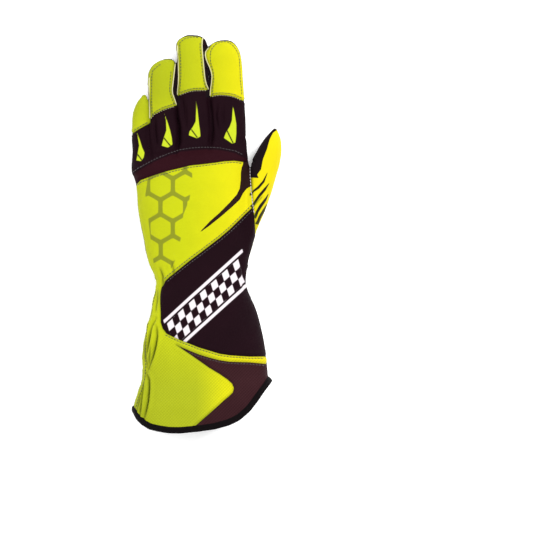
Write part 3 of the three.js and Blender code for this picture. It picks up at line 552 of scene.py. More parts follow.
# Vertices on the seams and folds, so that they stay crisp
SEAMS = [BAND_LOWER, DIAGONAL, CUFF_SEAM, WEDGE_EDGE, THUMB_SEAM]
lines = [line for line, _, _ in PUCKERS] + SEAMS + [back + back[:1] for back in FINGER_BACKS.values()]
for line in lines:
    field = np.full(len(points), 3.0)
    top = points[:, 2] - seam_height(points[:, 1]) > -2
    field[top] = side_of(points[top], line)
    points, low, high = clip(points, triangles, field)
    triangles = np.vstack([low, high])
edges = edges_of(triangles)

normals = normals_of(points, triangles)
rest = points.copy()
x, y, z = rest.T
over = z - seam_height(y)


def bell(distance, width):
    return np.exp(-((distance / width) ** 2))


FAR = 1e3
meet, join = np.maximum.reduce, np.minimum.reduce  # under 0 where all signed distances are, and where any is


def seam_field(p, p_over):
    """Distance to the nearest seam that shows as a groove."""
    gaps = [line_distance(p, line)[0] for line in SEAMS + [TRIM_LOWER]]
    gaps += [np.abs(inside(p, outline)) for outline in FINGER_BACKS.values()]
    side = np.where(p[:, 1] < 118, np.abs(p_over), FAR)
    return np.minimum(np.where(p_over > -1, join(gaps), FAR), side)


seams = seam_field(rest, over)
held = np.clip((hem_field(rest) - 2) / 6, 0, 1)  # the binding holds the cloth flat at the hem
push = held * (0.28 * bell(seams - 2.4, 1.1) - 0.75 * bell(seams, 0.9))
fold_shade = np.zeros(len(rest))
for line, depth, width in PUCKERS:
    gap, share = line_distance(rest, line)
    fade = np.sin(np.clip(share, 0.02, 0.98) * math.pi) ** 0.5
    shape = 0.5 * bell(gap - 1.9 * width, width) - bell(gap, 0.7 * width)
    push += np.where(over > -3, fade * depth * shape, 0) * 1.5
    # Painted shade that darkens the cloth along each fold line
    fold_shade = np.maximum(fold_shade, np.where(over > -3, fade * bell(gap, 0.5 * width) * min(1.1 * depth, 1), 0))

# The step where the band's upper tier lies on the lower one
tier = inside(rest, TIER + [(70, 260), (-90, 260)])
push += np.where((over > -1) & (y > 60), 0.55 / (1 + np.exp(np.clip(tier / 0.35, -30, 30))), 0)

# The elastic gather across the wrist's underside, and the folds that run out of it
left, right = body_sizes(along_of(y))[:2]
across = (x - left) / (right - left)


def waves(count, sway=0.0):
    """Folds along the hand, so many across it, from -1 to 1."""
    return np.cos(2 * math.pi * (count * across + sway))


gather = np.clip(1 - np.abs(y - 4) / 17, 0, 1) ** 0.5
rows = 0.55 + 0.45 * np.cos(2 * math.pi * (y - 4) / 8.5)
folds = gather * (1.3 * waves(9.5, 0.35 * np.sin(y / 7)) * rows - 0.9 * (1 - rows)) * np.clip(-over / 3, 0, 1)
spread = np.clip((-12 - y) / 8, 0, 1) * np.clip((y + 75) / 60, 0, 1)
heel = np.clip((y - 20) / 6, 0, 1) * np.clip((52 - y) / 30, 0, 1)
long_folds = spread * 1.3 * waves(5.5, 0.2 * np.sin(y / 19)) + heel * 0.7 * waves(6.5)
push += np.where(over > 0, 0, folds + long_folds * np.clip(-over / 4, 0, 1))

def swell(width, length, shift=0):
    """Soft unevenness of the cloth, from -1 to 1, with swells of a width and a length along the hand."""
    return np.array([noise.noise(Vector((p[0] / width + shift, p[1] / length, p[2] / width))) for p in rest])


push += 0.9 * swell(26, 34) + 0.22 * swell(8, 11, 40)
points = points + normals * push[:, None]
points[:, 2] = np.maximum(points[:, 2], REST - 0.6)
points = relax(points, edges, 0.25, 1)
normals = normals_of(points, triangles)

# One table of values for each point: place, normal, place at rest, painted fold shade
table = np.column_stack([points, normals, rest, fold_shade])
POINT, NORMAL, PLACE, FOLD_SHADE = slice(0, 3), slice(3, 6), slice(6, 9), 9


def place(table):
    return table[:, PLACE], table[:, 8] - seam_height(table[:, 7])


def on_top(outline):
    """A region: inside an outline seen from above, over the side seam."""
    return lambda p, p_over: np.maximum(inside(p, outline), -p_over)


def thumb_back_field(p, p_over):
    flat = p[:, :2] - THUMB_ROOT
    along, aside = flat @ HEADING / THUMB_LENGTH, flat @ ASIDE
    row = thumb_at(along) * (THUMB_WIDTH, THUMB_HEIGHT, THUMB_WIDTH)
    middle = REST + 0.54 * THUMB_HEIGHT
    under = meet([p[:, 2] - middle - 0.5, (row[:, 2] + 0.28 * row[:, 0]) - aside, 20 - p[:, 1]])
    return np.minimum(np.maximum(inside(p, THUMB_BACK), middle - p[:, 2]), under)


ROUND_THUMB = [(110, 50), (110, 150), (60, 150), (45, 118), (39, 106)]
THUMB_CROTCH = ((0.965, 0.86), (0.93, 0.75), (0.9, 0.6), (0.83, 0.4), (0.76, 0.24), (0.72, 0.17))
THUMB_TOP = THUMB_SEAM + [(54, 26)] + ROUND_THUMB
THUMB_UNDER = [chart(*place) for place in THUMB_CROTCH] + [(60, 19)] + ROUND_THUMB
GUSSET_EDGE = ((0.05, -0.45), (0.06, -0.6), (0.07, -0.75), (0.09, -1.05))
GUSSET = [(-120, 0)] + DIAGONAL[11:] + [chart(*place) for place in GUSSET_EDGE] + [(-120, -140)]
BAND = BAND_LOWER + [(120, 116), (120, 260), (-120, 260)]
BACK = DIAGONAL[:13] + [(-120, 0), (-120, 140), (120, 140)]
CUFF_TOP = DIAGONAL + CUFF_SEAM[1:] + [(110, 40)]
WEDGE = TRIM_LOWER + [(110, -140)] + WEDGE_EDGE[::-1]
ALL = [(-200, -200), (200, -200), (200, 400), (-200, 400)]
GATHER_LOW = -0.08 * CUFF_LENGTH


def between(right_name, left_name, start):
    """The sides that two fingers turn to each other, up to near the shorter one's tip. From the start on they
    reach the back between the two."""
    right_length, left_length = FINGERS[right_name][0], FINGERS[left_name][0]

    def middle(name, share):
        return finger_sides[name](share)[0].mean() * PALM_WIDTH

    tip = PALM_LENGTH + 0.93 * min(right_length, left_length)
    outline = [(middle(right_name, 0.1), 97), (middle(left_name, 0.1), 97)]
    outline += [(middle(left_name, 0.9), tip), (middle(right_name, 0.9), tip)]

    def field(p, p_over):
        low = REST + 0.28 * FINGER_HEIGHT - p[:, 2]
        gap = finger_sides[right_name]((p[:, 1] - PALM_LENGTH) / right_length)[:, 0]
        gap = (gap + finger_sides[left_name]((p[:, 1] - PALM_LENGTH) / left_length)[:, 1]) / 2 * PALM_WIDTH
        high = p[:, 2] - REST - 0.97 * FINGER_HEIGHT
        slot = meet([np.abs(p[:, 0] - gap) - 3, start - p[:, 1], high])
        slot = np.minimum(p[:, 2] - REST - 0.6 * FINGER_HEIGHT, slot)
        return meet([inside(p, outline), low, slot])

    return field


def thumb_grip_field(p, p_over):
    return np.minimum(inside(p, THUMB_TOP), np.maximum(inside(p, THUMB_UNDER), p_over))


def gusset_field(p, p_over):
    return np.maximum(inside(p, GUSSET), 0.3 * WRIST_HEIGHT - p[:, 2])


def palm_side(low, high):
    """A region: under the side seam, between two places along the hand."""
    return lambda p, p_over: meet([p_over, low - p[:, 1], p[:, 1] - high])


# Each panel in the order in which they are cut from the skin: piece, region, finish and CAD nodes
REGIONS = [
    ("thumb_back_cloth", thumb_back_field, "yellow", ["thumb_back"]),
    ("thumb_grip_side", thumb_grip_field, "suede", ["thumb_palm"]),
    ("side_gusset_cloth", gusset_field, "yellow", ["cuff_side_gusset"]),
]
for name in FINGERS:
    REGIONS.append((name + "_back_cloth", on_top(FINGER_BACKS[name]), "yellow", [name + "_back"]))
for right, left, start in (("index", "middle", 150), ("middle", "ring", 143), ("ring", "little", 127)):
    node = "fourchette_" + right + "_" + left
    REGIONS.append((node + "_cloth", between(right, left, start), "suede", [node]))
REGIONS += [
    ("knuckle_band_cloth", on_top(BAND), "black", ["knuckle_band"]),
    ("back_stripe_cloth", on_top(STRIPE), "stripe", ["back_stripe"]),
    ("back_panel_cloth", on_top(BACK), "yellow", ["back_panel"]),
    ("cuff_back_cloth", on_top(CUFF_TOP), "black", ["cuff_back_panel"]),
    ("cuff_wedge_cloth", on_top(WEDGE), "plum", ["cuff_wedge_panel"]),
    ("cuff_lower_cloth", on_top(ALL), "twill", ["cuff_lower_panel"]),
    ("wrist_gather_cloth", palm_side(GATHER_LOW, 0.15 * PALM_LENGTH), "black", ["wrist_gather"]),
    ("cuff_palm_cloth", palm_side(-np.inf, GATHER_LOW), "black", ["cuff_palm_panel"]),
    ("palm_cloth", palm_side(0, np.inf), "suede", ["palm_panel"] + [name + "_front" for name in FINGERS]),
]

table, _, whole_triangles = clip(table, triangles, hem_field(table[:, PLACE]) - HEM_TUCK)
rim = border(whole_triangles)
whole = table


def srgb(code, level=LEVEL):
    """A linear colour from its code as it is seen under the scene's lights."""
    values = [int(code[i : i + 2], 16) / 255 for i in (1, 3, 5)]
    return [level * (v / 12.92 if v <= 0.04045 else ((v + 0.055) / 1.055) ** 2.4) for v in values] + [1]


class Nodes:
    """Builds a material's node tree from inputs to output."""

    def __init__(self, name):
        self.material = bpy.data.materials.new(name)
        self.material.use_nodes = True
        self.tree = self.material.node_tree
        self.tree.nodes.clear()

    def add(self, kind, **settings):
        node = self.tree.nodes.new("ShaderNode" + kind)
        inputs = settings.pop("inputs", {})
        for key, value in settings.items():
            setattr(node, key, value)
        for key, value in inputs.items():
            if isinstance(value, bpy.types.NodeSocket):
                self.tree.links.new(value, node.inputs[key])
            else:
                node.inputs[key].default_value = value
        return node

    def math(self, operation, *values):
        return self.add("Math", operation=operation, inputs=dict(enumerate(values))).outputs[0]

    def times(self, a, b):
        return self.math("MULTIPLY", a, b)

    def mix(self, factor, a, b):
        return self.add("Mix", data_type="RGBA", inputs={0: factor, 6: a, 7: b}).outputs[2]

    def tint(self, colour, code, factor, strength):
        """The colour mixed towards a code, by a factor times a strength."""
        return self.mix(self.times(factor, strength), colour, srgb(code))

    def fade(self, value, start, end, first=0.0, last=1.0):
        """Runs from first to last while the value runs from start to end, and stays there."""
        return self.add("MapRange", inputs={0: value, 1: start, 2: end, 3: first, 4: last}).outputs[0]

    def ramp(self, factor, stops):
        node = self.add("ValToRGB", inputs={0: factor})
        ramp = node.color_ramp
        while len(ramp.elements) < len(stops):
            ramp.elements.new(0.5)
        for element, (position, colour) in zip(ramp.elements, stops):
            element.position, element.color = position, colour
        return node.outputs[0]

    def attribute(self, name):
        return self.add("Attribute", attribute_name=name).outputs["Fac"]

    def edge(self, name, width=0.25):
        """1 where the distance attribute is under 0, 0 where it is over, with a soft edge in millimetres."""
        return self.fade(self.attribute(name), -width, width, 1.0, 0.0)

    def finish(self, colour, roughness, height, distance, sheen=0.0, sheen_tint=(1, 1, 1, 1), specular=0.3):
        bump = self.add("Bump", inputs={"Strength": 1.0, "Distance": distance, "Height": height})
        settings = {"Base Color": colour, "Roughness": roughness, "Normal": bump.outputs[0]}
        settings.update({"Sheen Weight": sheen, "Sheen Tint": sheen_tint, "Sheen Roughness": 0.5})
        settings["Specular IOR Level"] = specular
        shader = self.add("BsdfPrincipled", inputs=settings)
        out = self.add("OutputMaterial")
        self.tree.links.new(shader.outputs[0], out.inputs[0])
        return self.material


def coordinates(n):
    return n.add("TexCoord").outputs["Object"]


def thread_waves(n, threads, turn):
    """A wave across each of two sets of threads, turned in the glove's plane."""
    turned = n.add("Mapping", inputs={"Vector": coordinates(n), "Rotation": (0, 0, turn)}).outputs[0]
    axes = n.add("SeparateXYZ", inputs={0: turned}).outputs
    return [n.math("SINE", n.times(axes[i], threads * 2)) for i in (0, 1)]


def weave(n, threads, turn=0.0):
    """A woven surface: two sets of threads that cross, as a height from 0 to 1."""
    return n.math("MULTIPLY_ADD", n.times(*thread_waves(n, threads, turn)), 0.5, 0.5)


def twill(n):
    """A woven surface with slanted ribs, as a height from 0 to 1."""
    rib, tie = thread_waves(n, 1750.0, 0.78)
    return n.math("ADD", n.math("MULTIPLY_ADD", rib, 0.36, 0.5), n.times(tie, 0.14))


def grain(n, scale, detail=3.0):
    noise_node = n.add("TexNoise", inputs={"Vector": coordinates(n), "Scale": scale, "Detail": detail})
    return noise_node.outputs["Fac"]


CLOTH_BUMP = 0.00022  # in metres
# The yellow's stops from left to right: the cloth's own tone, with painted shade that darkens the left side
YELLOWS_WITH_LEFT_SHADE = {0: "#c8d212", 0.35: "#d0d70a", 0.6: "#e5e004", 0.8: "#f6e604", 1: "#fde306"}  # from left to right


def printed(n, colour, prints):
    for attribute, code in prints.items():
        colour = n.mix(n.edge(attribute), colour, srgb(code))
    return colour


def yellow_cloth(name, prints, ribbed, contrast):
    n = Nodes(name)
    axes = n.add("SeparateXYZ", inputs={0: coordinates(n)}).outputs
    # Painted shade: the ramp runs from the darker left side to the lighter right side
    share = n.fade(axes[0], -0.062, 0.064)
    colour = n.ramp(share, [(position, srgb(code)) for position, code in YELLOWS_WITH_LEFT_SHADE.items()])
    # Painted shade: darker olive towards the lower end of the cuff's left side
    low = n.times(n.fade(axes[1], -0.07, -0.125), n.fade(axes[0], 0.014, -0.008))
    colour = n.tint(colour, "#a9b41c", low, 0.85)
    # Painted shade: darker olive on the fingers at the glove's left
    left_fingers_shade = n.times(n.fade(axes[1], 0.07, 0.115), n.fade(axes[0], 0.03, -0.04))
    colour = n.tint(colour, "#9faa16", left_fingers_shade, 0.7)
    colour = n.tint(colour, "#a3ab0c", grain(n, 60.0), 0.25)
    threads = twill(n) if ribbed else weave(n, 2600.0, 0.78)
    colour = n.tint(colour, "#7f880c", n.math("SUBTRACT", 1.0, threads), contrast)
    colour = printed(n, colour, prints)
    # Painted shade: the cloth darkens along the folds
    colour = n.tint(colour, "#4c5512", n.attribute("fold_shade"), 0.85)
    # Painted shade: the cloth darkens towards the seams
    seam_shade = n.fade(n.attribute("seam_line"), 0.0, 2.2, 0.2, 0.0)
    colour = n.mix(seam_shade, colour, srgb("#7c8a1c"))
    colour = n.tint(colour, "#4b5013", n.edge("seam_line", 0.35), 0.6)
    height = n.math("ADD", threads, n.times(grain(n, 300.0), 0.8))
    return n.finish(colour, 0.78, height, CLOTH_BUMP, 0.12, srgb("#f5f760"), 0.1)


def dark_cloth(name, base, light, prints, ribbed):
    n = Nodes(name)
    pattern = twill(n) if ribbed else weave(n, 2600.0, 0.4)
    colour = n.tint(srgb(base), light, pattern, 0.35)
    colour = n.tint(colour, light, grain(n, 45.0), 0.35)
    colour = printed(n, colour, prints)
    colour = n.tint(colour, "#050304", n.edge("seam_line", 0.35), 0.7)
    height = n.math("ADD", pattern, n.times(grain(n, 400.0), 0.8))
    return n.finish(colour, 0.7, height, CLOTH_BUMP, 0.03, srgb("#8a4a66"), 0.04)


def suede(name):
    n = Nodes(name)
    nap = grain(n, 900.0, 4.0)
    colour = n.mix(nap, srgb("#0d0609"), srgb("#1c1116"))
    colour = n.tint(colour, "#241a1f", grain(n, 35.0), 0.4)
    colour = n.tint(colour, "#050304", n.edge("seam_line", 0.35), 0.7)
    return n.finish(colour, 0.92, nap, 0.0003, 0.09, srgb("#8a6f7c"), 0.05)


def rubber(name, code, dark):
    n = Nodes(name)
    dots = n.add("TexVoronoi", inputs={"Vector": coordinates(n), "Scale": 700.0}).outputs["Distance"]
    colour = n.tint(srgb(code), dark, dots, 0.6)
    return n.finish(colour, 0.42, dots, 0.00025, specular=0.5)


def thread(name, code, dark):
    n = Nodes(name)
    twist = grain(n, 2500.0, 2.0)
    return n.finish(n.mix(twist, srgb(code), srgb(dark)), 0.6, twist, 0.0001, 0.2)


def tape(name):
    n = Nodes(name)
    ribs = weave(n, 4200.0, 0.1)
    colour = n.mix(ribs, srgb("#060304"), srgb("#120b0e"))
    return n.finish(colour, 0.75, ribs, 0.0003, 0.04, srgb("#6a5560"), 0.06)


def lining(name):
    n = Nodes(name)
    knit = weave(n, 3000.0)
    return n.finish(n.mix(knit, srgb("#1d1a1c"), srgb("#3a3638")), 0.9, knit, 0.0003, 0.3)


LINING = lining("inner_lining")
ON_YELLOW = {"print_black": "#120809", "print_olive": "#8d9420"}
ON_BLACK = {
    "print_plum": "#2c0b14", "print_white": "#f3e9ee", "print_lime": "#c9da2b", "print_slit": "#120b0e",
}
FINISHES = {  # each finish's material and slot
    "yellow": (yellow_cloth("yellow_stretch_cloth", ON_YELLOW, False, 0.16), "yellow_fabric"),
    "twill": (yellow_cloth("yellow_twill_cloth", {}, True, 0.3), "yellow_fabric"),
    "black": (dark_cloth("black_stretch_cloth", "#11040a", "#2b0f1a", ON_BLACK, False), "black_fabric"),
    "plum": (dark_cloth("plum_black_cloth", "#260d11", "#4c2a2f", {}, True), "black_fabric"),
    "stripe": (dark_cloth("printed_stripe_cloth", "#20100f", "#3a221c", {}, False), "black_fabric"),
    "suede": (suede("black_suede_palm"), "black_suede"),
}


def honeycomb(p):
    """Signed distance to the lines of a honeycomb, drawn on a patch of the hand's back."""
    size = 11.5
    u, v = p[:, 0] + 33, p[:, 1] - 9
    row = np.round(v / (1.5 * size))
    gaps = []
    for k in (-1, 0, 1):
        shift = ((row + k) % 2) * 0.866 * size
        column = np.round((u - shift) / (1.732 * size))
        for m in (-1, 0, 1):
            gaps.append(np.hypot(u - shift - (column + m) * 1.732 * size, v - (row + k) * 1.5 * size))
    gaps = np.sort(np.array(gaps), axis=0)
    line = (gaps[1] - gaps[0]) / 1.732 - 2.0
    patch = inside(p, traced(
        149, 178, 162, 172.5, 178, 167.5, 192, 165.5, 193, 180, 190, 200, 184, 215, 182, 236, 177, 258,
        170, 272, 163, 281, 156, 276, 152, 250, 149, 220, 146, 195
    ))
    return np.maximum(line, patch)


def chequers(p):
    """Signed distance to slanted racing chequers along the cuff's diagonal."""
    start, along, down = np.array([-28.0, -33.5]), np.array([0.742, 0.67]), np.array([0.67, -0.742])
    u, v = (p[:, :2] - start) @ along, (p[:, :2] - start) @ down
    u = u + 0.45 * v
    cell = 6.0
    i, j = np.floor(u / cell), np.floor(v / cell)
    du = cell / 2 - np.abs(u - (i + 0.5) * cell)
    dv = cell / 2 - np.abs(v - (j + 0.5) * cell)
    on = (i + j) % 2 == 0
    square = np.where(on, -np.minimum(du, dv), np.minimum(du, dv)) + 0.15
    frame_box = meet([-u, -v, v - 3 * cell, u - 13 * cell])
    rails = np.minimum(np.abs(v + 2.6) - 1.2, np.abs(v - 3 * cell - 2.6) - 1.2)
    rails = np.maximum(rails, np.maximum(-u - 2, u - 14 * cell))
    return np.minimum(np.maximum(square, frame_box), rails)


def prints_of(p, p_over):
    """Each print's signed distance, up to 5 mm and over the side seam only."""
    pick = lambda field: np.where(p_over > -2, np.clip(field, -5, 5), 5.0)
    stripes = join([inside(p, outline) for outline in THUMB_STRIPES]) - 0.25
    spikes = join([inside(p, outline) for outline in SPIKES])
    slits = join([line_distance(p, line)[0] for line in SLITS]) - 0.55
    return {
        "print_black": pick(np.maximum(stripes, 15 - p[:, 2])),
        "print_olive": pick(honeycomb(p)),
        "print_white": pick(chequers(p)),
        "print_lime": pick(spikes),
        "print_slit": pick(np.maximum(slits, spikes)),
        "print_plum": pick(np.maximum(inside(p, TIER + BAND_LOWER[::-1]), 60 - p[:, 1])),
        "seam_line": np.clip(seam_field(p, p_over) - 0.3, -5, 5),
    }


def make(name, verts, faces, materials, slot, nodes=()):
    """A piece of the glove, brought from millimetres in the glove's frame to metres in the part's frame."""
    piece = mesh_object(name, (np.asarray(verts) + SHIFT) / 1000, np.asarray(faces).tolist())
    for material in materials:
        piece.data.materials.append(material)
    piece.data.polygons.foreach_set("use_smooth", np.ones(len(piece.data.polygons), bool))
    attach(piece, "root")
    if nodes:
        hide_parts(*nodes)
    return piece


def panel(name, table, triangles, finish, nodes):
    """A panel of cloth: the outer skin, the lining inside it, and the cut edge between them."""
    used, inverse = np.unique(triangles, return_inverse=True)
    outer = table[used]
    skin = inverse.reshape(-1, 3)
    count = len(outer)
    n = unit(outer[:, NORMAL])
    a, b = border(skin).T
    size = len(a)
    pa, pb = outer[a][:, POINT], outer[b][:, POINT]
    out = unit(np.cross(pb - pa, n[a]))
    verts = [outer[:, POINT], outer[:, POINT] - n * CLOTH, pa, pb, pa - n[a] * CLOTH, pb - n[b] * CLOTH]
    i = 2 * count + np.arange(size)
    first, second = (i + size, i, i + 2 * size), (i + size, i + 2 * size, i + 3 * size)
    faces = [skin, skin[:, ::-1] + count, np.column_stack(first), np.column_stack(second)]
    material, slot = FINISHES[finish]
    piece = make(name, np.vstack(verts), np.vstack(faces), [material, LINING], slot, nodes)
    kinds = np.concatenate([np.zeros(len(skin), int), np.ones(len(skin), int), np.zeros(2 * size, int)])
    piece.data.polygons.foreach_set("material_index", kinds)
    values = prints_of(*place(outer))
    values["fold_shade"] = outer[:, FOLD_SHADE]
    for key, v in values.items():
        v = np.concatenate([v, v, v[a], v[b], v[a], v[b]]).astype(np.float32)
        piece.data.attributes.new(key, "FLOAT", "POINT").data.foreach_set("value", v)
    piece.data.update()
    piece.data.normals_split_custom_set_from_vertices(np.vstack([n, -n] + [out] * 4).tolist())


remaining = whole_triangles
for name, field, finish, nodes in REGIONS:
    p, p_over = place(table)
    used = np.unique(remaining)
    values = np.full(len(table), 1.0)
    values[used] = field(p[used], p_over[used])
    table, cut, remaining = clip(table, remaining, values)
    if len(cut) == 0:
        raise SystemExit("nothing left for " + name)
    panel(name, table, cut, finish, nodes)


def tube(path, radius, sides=8):
    """A round tube along a path of points, narrower at its ends."""
    path = np.asarray(path, float)
    ahead = np.roll(path, -1, 0) - np.roll(path, 1, 0)
    ahead[0], ahead[-1] = path[1] - path[0], path[-1] - path[-2]
    ahead = unit(ahead)
    up = np.tile([0.0, 0.0, 1.0], (len(path), 1))
    up[np.abs(ahead[:, 2]) > 0.95] = (1, 0, 0)
    aside = unit(np.cross(ahead, up))
    up = np.cross(aside, ahead)
    angles = np.linspace(0, 2 * math.pi, sides, endpoint=False)[None, :, None]
    scale = np.full(len(path), radius)
    scale[[0, -1]] = radius * 0.3
    spokes = np.cos(angles) * aside[:, None] + np.sin(angles) * up[:, None]
    rings = path[:, None] + scale[:, None, None] * spokes
    return rings.reshape(-1, 3), ring_faces(len(path), sides)


surface = BVHTree.FromPolygons(whole[:, POINT].tolist(), whole_triangles.tolist())


def resample(line, step):
    """Points on a line, about a step apart."""
    line = np.asarray(line, float)
    run = run_of(line)
    where = np.linspace(0, run[-1], max(int(run[-1] / step), 2) + 1)
    return np.column_stack([np.interp(where, run, line[:, i]) for i in range(line.shape[1])])


def laid(line, step, lift):
    """Points of a line laid on the glove's skin from above, lifted off it."""
    out = []
    for px, py in resample(line, step):
        hit, normal, _, _ = surface.ray_cast(Vector((px, py, 120)), Vector((0, 0, -1)))
        if hit is not None:
            out.append(np.array(hit) + np.array(normal) * lift)
    return out


def aside_of(line, offset):
    """A line beside another, on its left."""
    line = np.asarray(line, float)
    ahead = unit(np.gradient(line, axis=0))
    return line + offset * np.column_stack([-ahead[:, 1], ahead[:, 0]])


def stitches(line, length=2.2, gap=0.7, radius=0.3):
    """Stitches along a line, but none where it drops from one height to another."""
    fine_step = 0.5
    path = laid(line, fine_step, 0.12)
    take = int(length / fine_step)
    starts = range(0, len(path) - take, int((length + gap) / fine_step))
    level = [i for i in starts if np.linalg.norm(path[i + take] - path[i]) < 2 * length]
    return [tube(path[i : i + take + 1], radius, 6) for i in level]


def sew(name, lines, thread, slot, **sizes):
    """One piece of all the stitches along some lines."""
    parts = [stitch for line in lines for stitch in stitches(line, **sizes)]
    make(name, *gather_parts(parts), [thread], slot)


# Stitched lines and piping
PALE = thread("pale_thread", "#efe9b4", "#c9c48a")
DARK_THREAD = thread("dark_olive_thread", "#464c14", "#24280b")
WHITE_THREAD = thread("white_thread", "#efe6ea", "#b9a9b2")
BLACK_THREAD = thread("black_thread", "#1a1216", "#3a2d33")
PIPED = [
    traced(210.5, 96.5, 210.8, 90, 211.8, 84, 212.4, 77, 211.8, 73, 210.2, 68, 208, 63.5, 206.4, 59.5,
           205.4, 56, 205.6, 53, 207, 50.8, 209.3, 48),
    traced(208.6, 90, 206.4, 85, 205.2, 80, 204.4, 74, 203.8, 68, 203.1, 60, 202.6, 54, 202.1, 48, 202.2, 42,
           203, 38),
    traced(177.8, 95.5, 178.2, 89, 178.8, 83, 179, 76, 178.9, 68, 178.7, 61, 178.2, 54, 177.8, 46),
    traced(176.5, 105.5, 174.6, 99.5, 172.7, 94, 172.4, 90, 173.3, 82, 174.1, 75, 175, 67, 176, 61),
    traced(150.3, 119, 149.8, 104, 149.6, 90, 149.8, 78),
]
piping = gather_parts([tube(laid(line, 0.8, 0.15), 0.5) for line in PIPED])
make("finger_piping", *piping, [PALE], "yellow_fabric")

DARK_RUNS = [
    traced(212.8, 96, 213.2, 88, 214, 80, 213.8, 74, 212.4, 68, 210.8, 63, 210.3, 57, 211, 52, 212.8, 48.3,
           216, 45, 220, 43, 225, 42.4, 228, 42.9, 232, 45.2, 236, 50, 238.5, 55, 239.5, 61, 240, 70,
           240.4, 80, 241.2, 88, 242, 97),
    traced(180, 93.6, 180.6, 85, 181.3, 77, 181.3, 70, 181, 60, 180.2, 50, 180, 43.5, 184.5, 39.8, 190, 38,
           195, 37.6, 199.5, 38.6),
    traced(206, 88.8, 204.3, 84, 203.3, 78, 202.4, 70, 201.2, 60, 200.3, 50, 200.2, 41),
    traced(152.8, 116, 152.2, 104, 152, 90, 152.2, 78, 153, 71.5, 158, 67, 163, 63.5),
    traced(174.3, 105, 171.3, 97, 169.8, 91, 170.6, 80, 171.3, 72),
    traced(181, 93, 185, 91.4, 190, 89.8, 195, 89, 206.5, 88.6),
    traced(212.5, 94.6, 216, 93.8, 222, 93.4, 230, 94.1, 235, 95.4, 240, 97.7, 242.5, 98.8),
    traced(152, 116.5, 156, 112, 163, 108.3, 172, 105.2, 175.5, 103.8),
    traced(134.8, 131, 139.5, 127.6, 146, 123.9, 149.3, 122),
    traced(156.5, 291, 154, 302, 151.5, 311, 149, 321, 147.2, 333, 146.6, 348, 146.6, 366, 145.6, 379,
           142.4, 390, 138.8, 399, 136, 410),
    aside_of(BAND_LOWER[1:-1], -1.7),
    aside_of(DIAGONAL[1:12], -1.7),
    aside_of(CUFF_SEAM[:-1], -1.5),
]
sew("cloth_topstitching", DARK_RUNS, DARK_THREAD, "yellow_fabric")

HEMMED = [
    traced(180.5, 95.8, 185, 94, 190, 92.4, 195, 91.6, 200, 91.4, 206, 91.1),
    traced(212.5, 97.2, 216, 96.5, 220, 96.1, 225, 96.4, 230, 96.9, 235, 98.2, 241.5, 101.2),
    traced(151.5, 119, 155, 115.1, 163, 111.2, 174, 107.4),
]
sew("pale_topstitching", HEMMED, PALE, "yellow_fabric", length=1.0, gap=1.0, radius=0.26)

BLACK_RUNS = [aside_of(TIER[1:-1], 2.0), aside_of(DIAGONAL[1:12], 1.8), aside_of(TRIM_LOWER[1:-1], -1.5)]
sew("black_topstitching", BLACK_RUNS, BLACK_THREAD, "black_fabric")
sew("thumb_seam_thread", [aside_of(THUMB_SEAM[:7], 0.2)], WHITE_THREAD, "black_suede", gap=0.6, radius=0.34)

# The hem's binding: a folded tape swept round the cuff's opening
BINDING_RINGS, BINDING_SIDES = 420, 22
follow = dict(rim.tolist())
start = rim[0][0]
loop, i = [], start
while True:
    loop.append(i)
    i = follow[i]
    if i == start or len(loop) > len(rim):
        break
ring = whole[loop][:, :6]
ring = np.vstack([ring, ring[:1]])
run = run_of(ring[:, :3])
where = np.linspace(0, run[-1], BINDING_RINGS, endpoint=False)
ring = np.column_stack([np.interp(where, run, ring[:, i]) for i in range(6)])
# The ring's places are smoothed a little, and its normals more
for k in range(24):
    turn = ring if k < 6 else ring[:, 3:]
    turn += 0.25 * (np.roll(turn, 1, 0) + np.roll(turn, -1, 0) - 2 * turn)
ahead = unit(np.roll(ring[:, :3], -1, 0) - np.roll(ring[:, :3], 1, 0))
out = unit(ring[:, 3:])
inward = unit(np.cross(out, ahead))
if inward[:, 1].mean() < 0:
    inward = -inward
rings = []
for angle in np.linspace(0, 2 * math.pi, BINDING_SIDES, endpoint=False):
    along = 1.9 + 2.7 * power(math.cos(angle), 2 / 3.2)
    off = -CLOTH / 2 + 1.85 * power(math.sin(angle), 2 / 2.6)
    rings.append(ring[:, :3] + inward * along + out * off)
rings = np.array(rings).transpose(1, 0, 2)
rings[:, :, 2] = np.maximum(rings[:, :, 2], 0.35)
faces = ring_faces(BINDING_RINGS, BINDING_SIDES, True)
make("hem_binding_tape", rings.reshape(-1, 3), faces, [tape("binding_tape")], "binding_tape", ["hem_binding"])

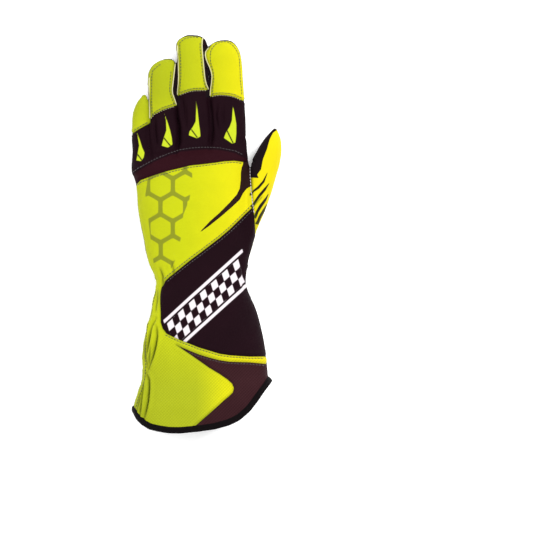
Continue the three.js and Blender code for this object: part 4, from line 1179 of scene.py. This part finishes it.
# Grip pads: the CAD outlines with rounded edges and a dotted face
GREY = rubber("grey_silicone", "#94868c", "#5c5056")
RED = rubber("red_silicone", "#ff3a50", "#b8202f")
slots = {s["node"]: s["material_slot"] for s in frame["record"]["subparts"]}
for node, source in frame["nodes"].items():
    if not node.startswith("grip_"):
        continue
    mesh = source.data.copy()
    mesh.materials.clear()
    mesh.materials.append(RED if slots[node] == "red_rubber" else GREY)
    piece = bpy.data.objects.new(node + "_pad", mesh)
    bpy.context.scene.collection.objects.link(piece)
    bevel = piece.modifiers.new("bevel", "BEVEL")
    bevel.width, bevel.segments, bevel.limit_method = 0.00025, 3, "ANGLE"
    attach(piece, "root")
    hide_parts(node)

# The surface, the lights and the camera
floor = mesh_object("floor", [(-3, -3, 0), (3, -3, 0), (3, 3, 0), (-3, 3, 0)], [(0, 1, 2, 3)])
n = Nodes("pale_surface")
pale_grey = n.mix(grain(n, 8.0), srgb("#f4f4f4", 1), srgb("#fafafa", 1))
floor.data.materials.append(n.finish(pale_grey, 0.9, grain(n, 200.0), 0.00005))
glow = next(node for node in n.tree.nodes if node.type == "BSDF_PRINCIPLED").inputs
glow["Emission Color"].default_value, glow["Emission Strength"].default_value = (1, 1, 1, 1), 0.3

scene = bpy.context.scene
scene.view_settings.view_transform = "Standard"
scene.view_settings.look = "None"
world = bpy.data.worlds.new("studio")
scene.world = world
world.use_nodes = True
background = world.node_tree.nodes["Background"].inputs
background[0].default_value, background[1].default_value = (1, 1, 1, 1), 0.8


def area_light(name, place, size, watts):
    """A square light that shines on the part's origin."""
    light = bpy.data.lights.new(name, "AREA")
    light.size, light.energy = size, watts
    piece = bpy.data.objects.new(name, light)
    piece.location = place
    piece.rotation_euler = (-Vector(place)).to_track_quat("-Z", "Y").to_euler()
    scene.collection.objects.link(piece)


area_light("key", (0.75, 0.55, 1.4), 0.7, 32)
area_light("fill", (-1.1, 0.2, 1.3), 1.4, 17)

# The camera looks straight down on the middle of the photograph
HIGH = 5.0
camera = bpy.data.cameras.new("camera")
camera.sensor_width = 36
camera.lens = camera.sensor_width * HIGH * 1000 / (PHOTO_SIDE * PIXEL)
camera.clip_end = 20
view = bpy.data.objects.new("camera", camera)
view_x, view_y = (PHOTO_SIDE / 2 - PART_ORIGIN[0]) * PIXEL, (PART_ORIGIN[1] - PHOTO_SIDE / 2) * PIXEL
view.location = (view_x / 1000, view_y / 1000, HIGH)
scene.collection.objects.link(view)
scene.camera = view
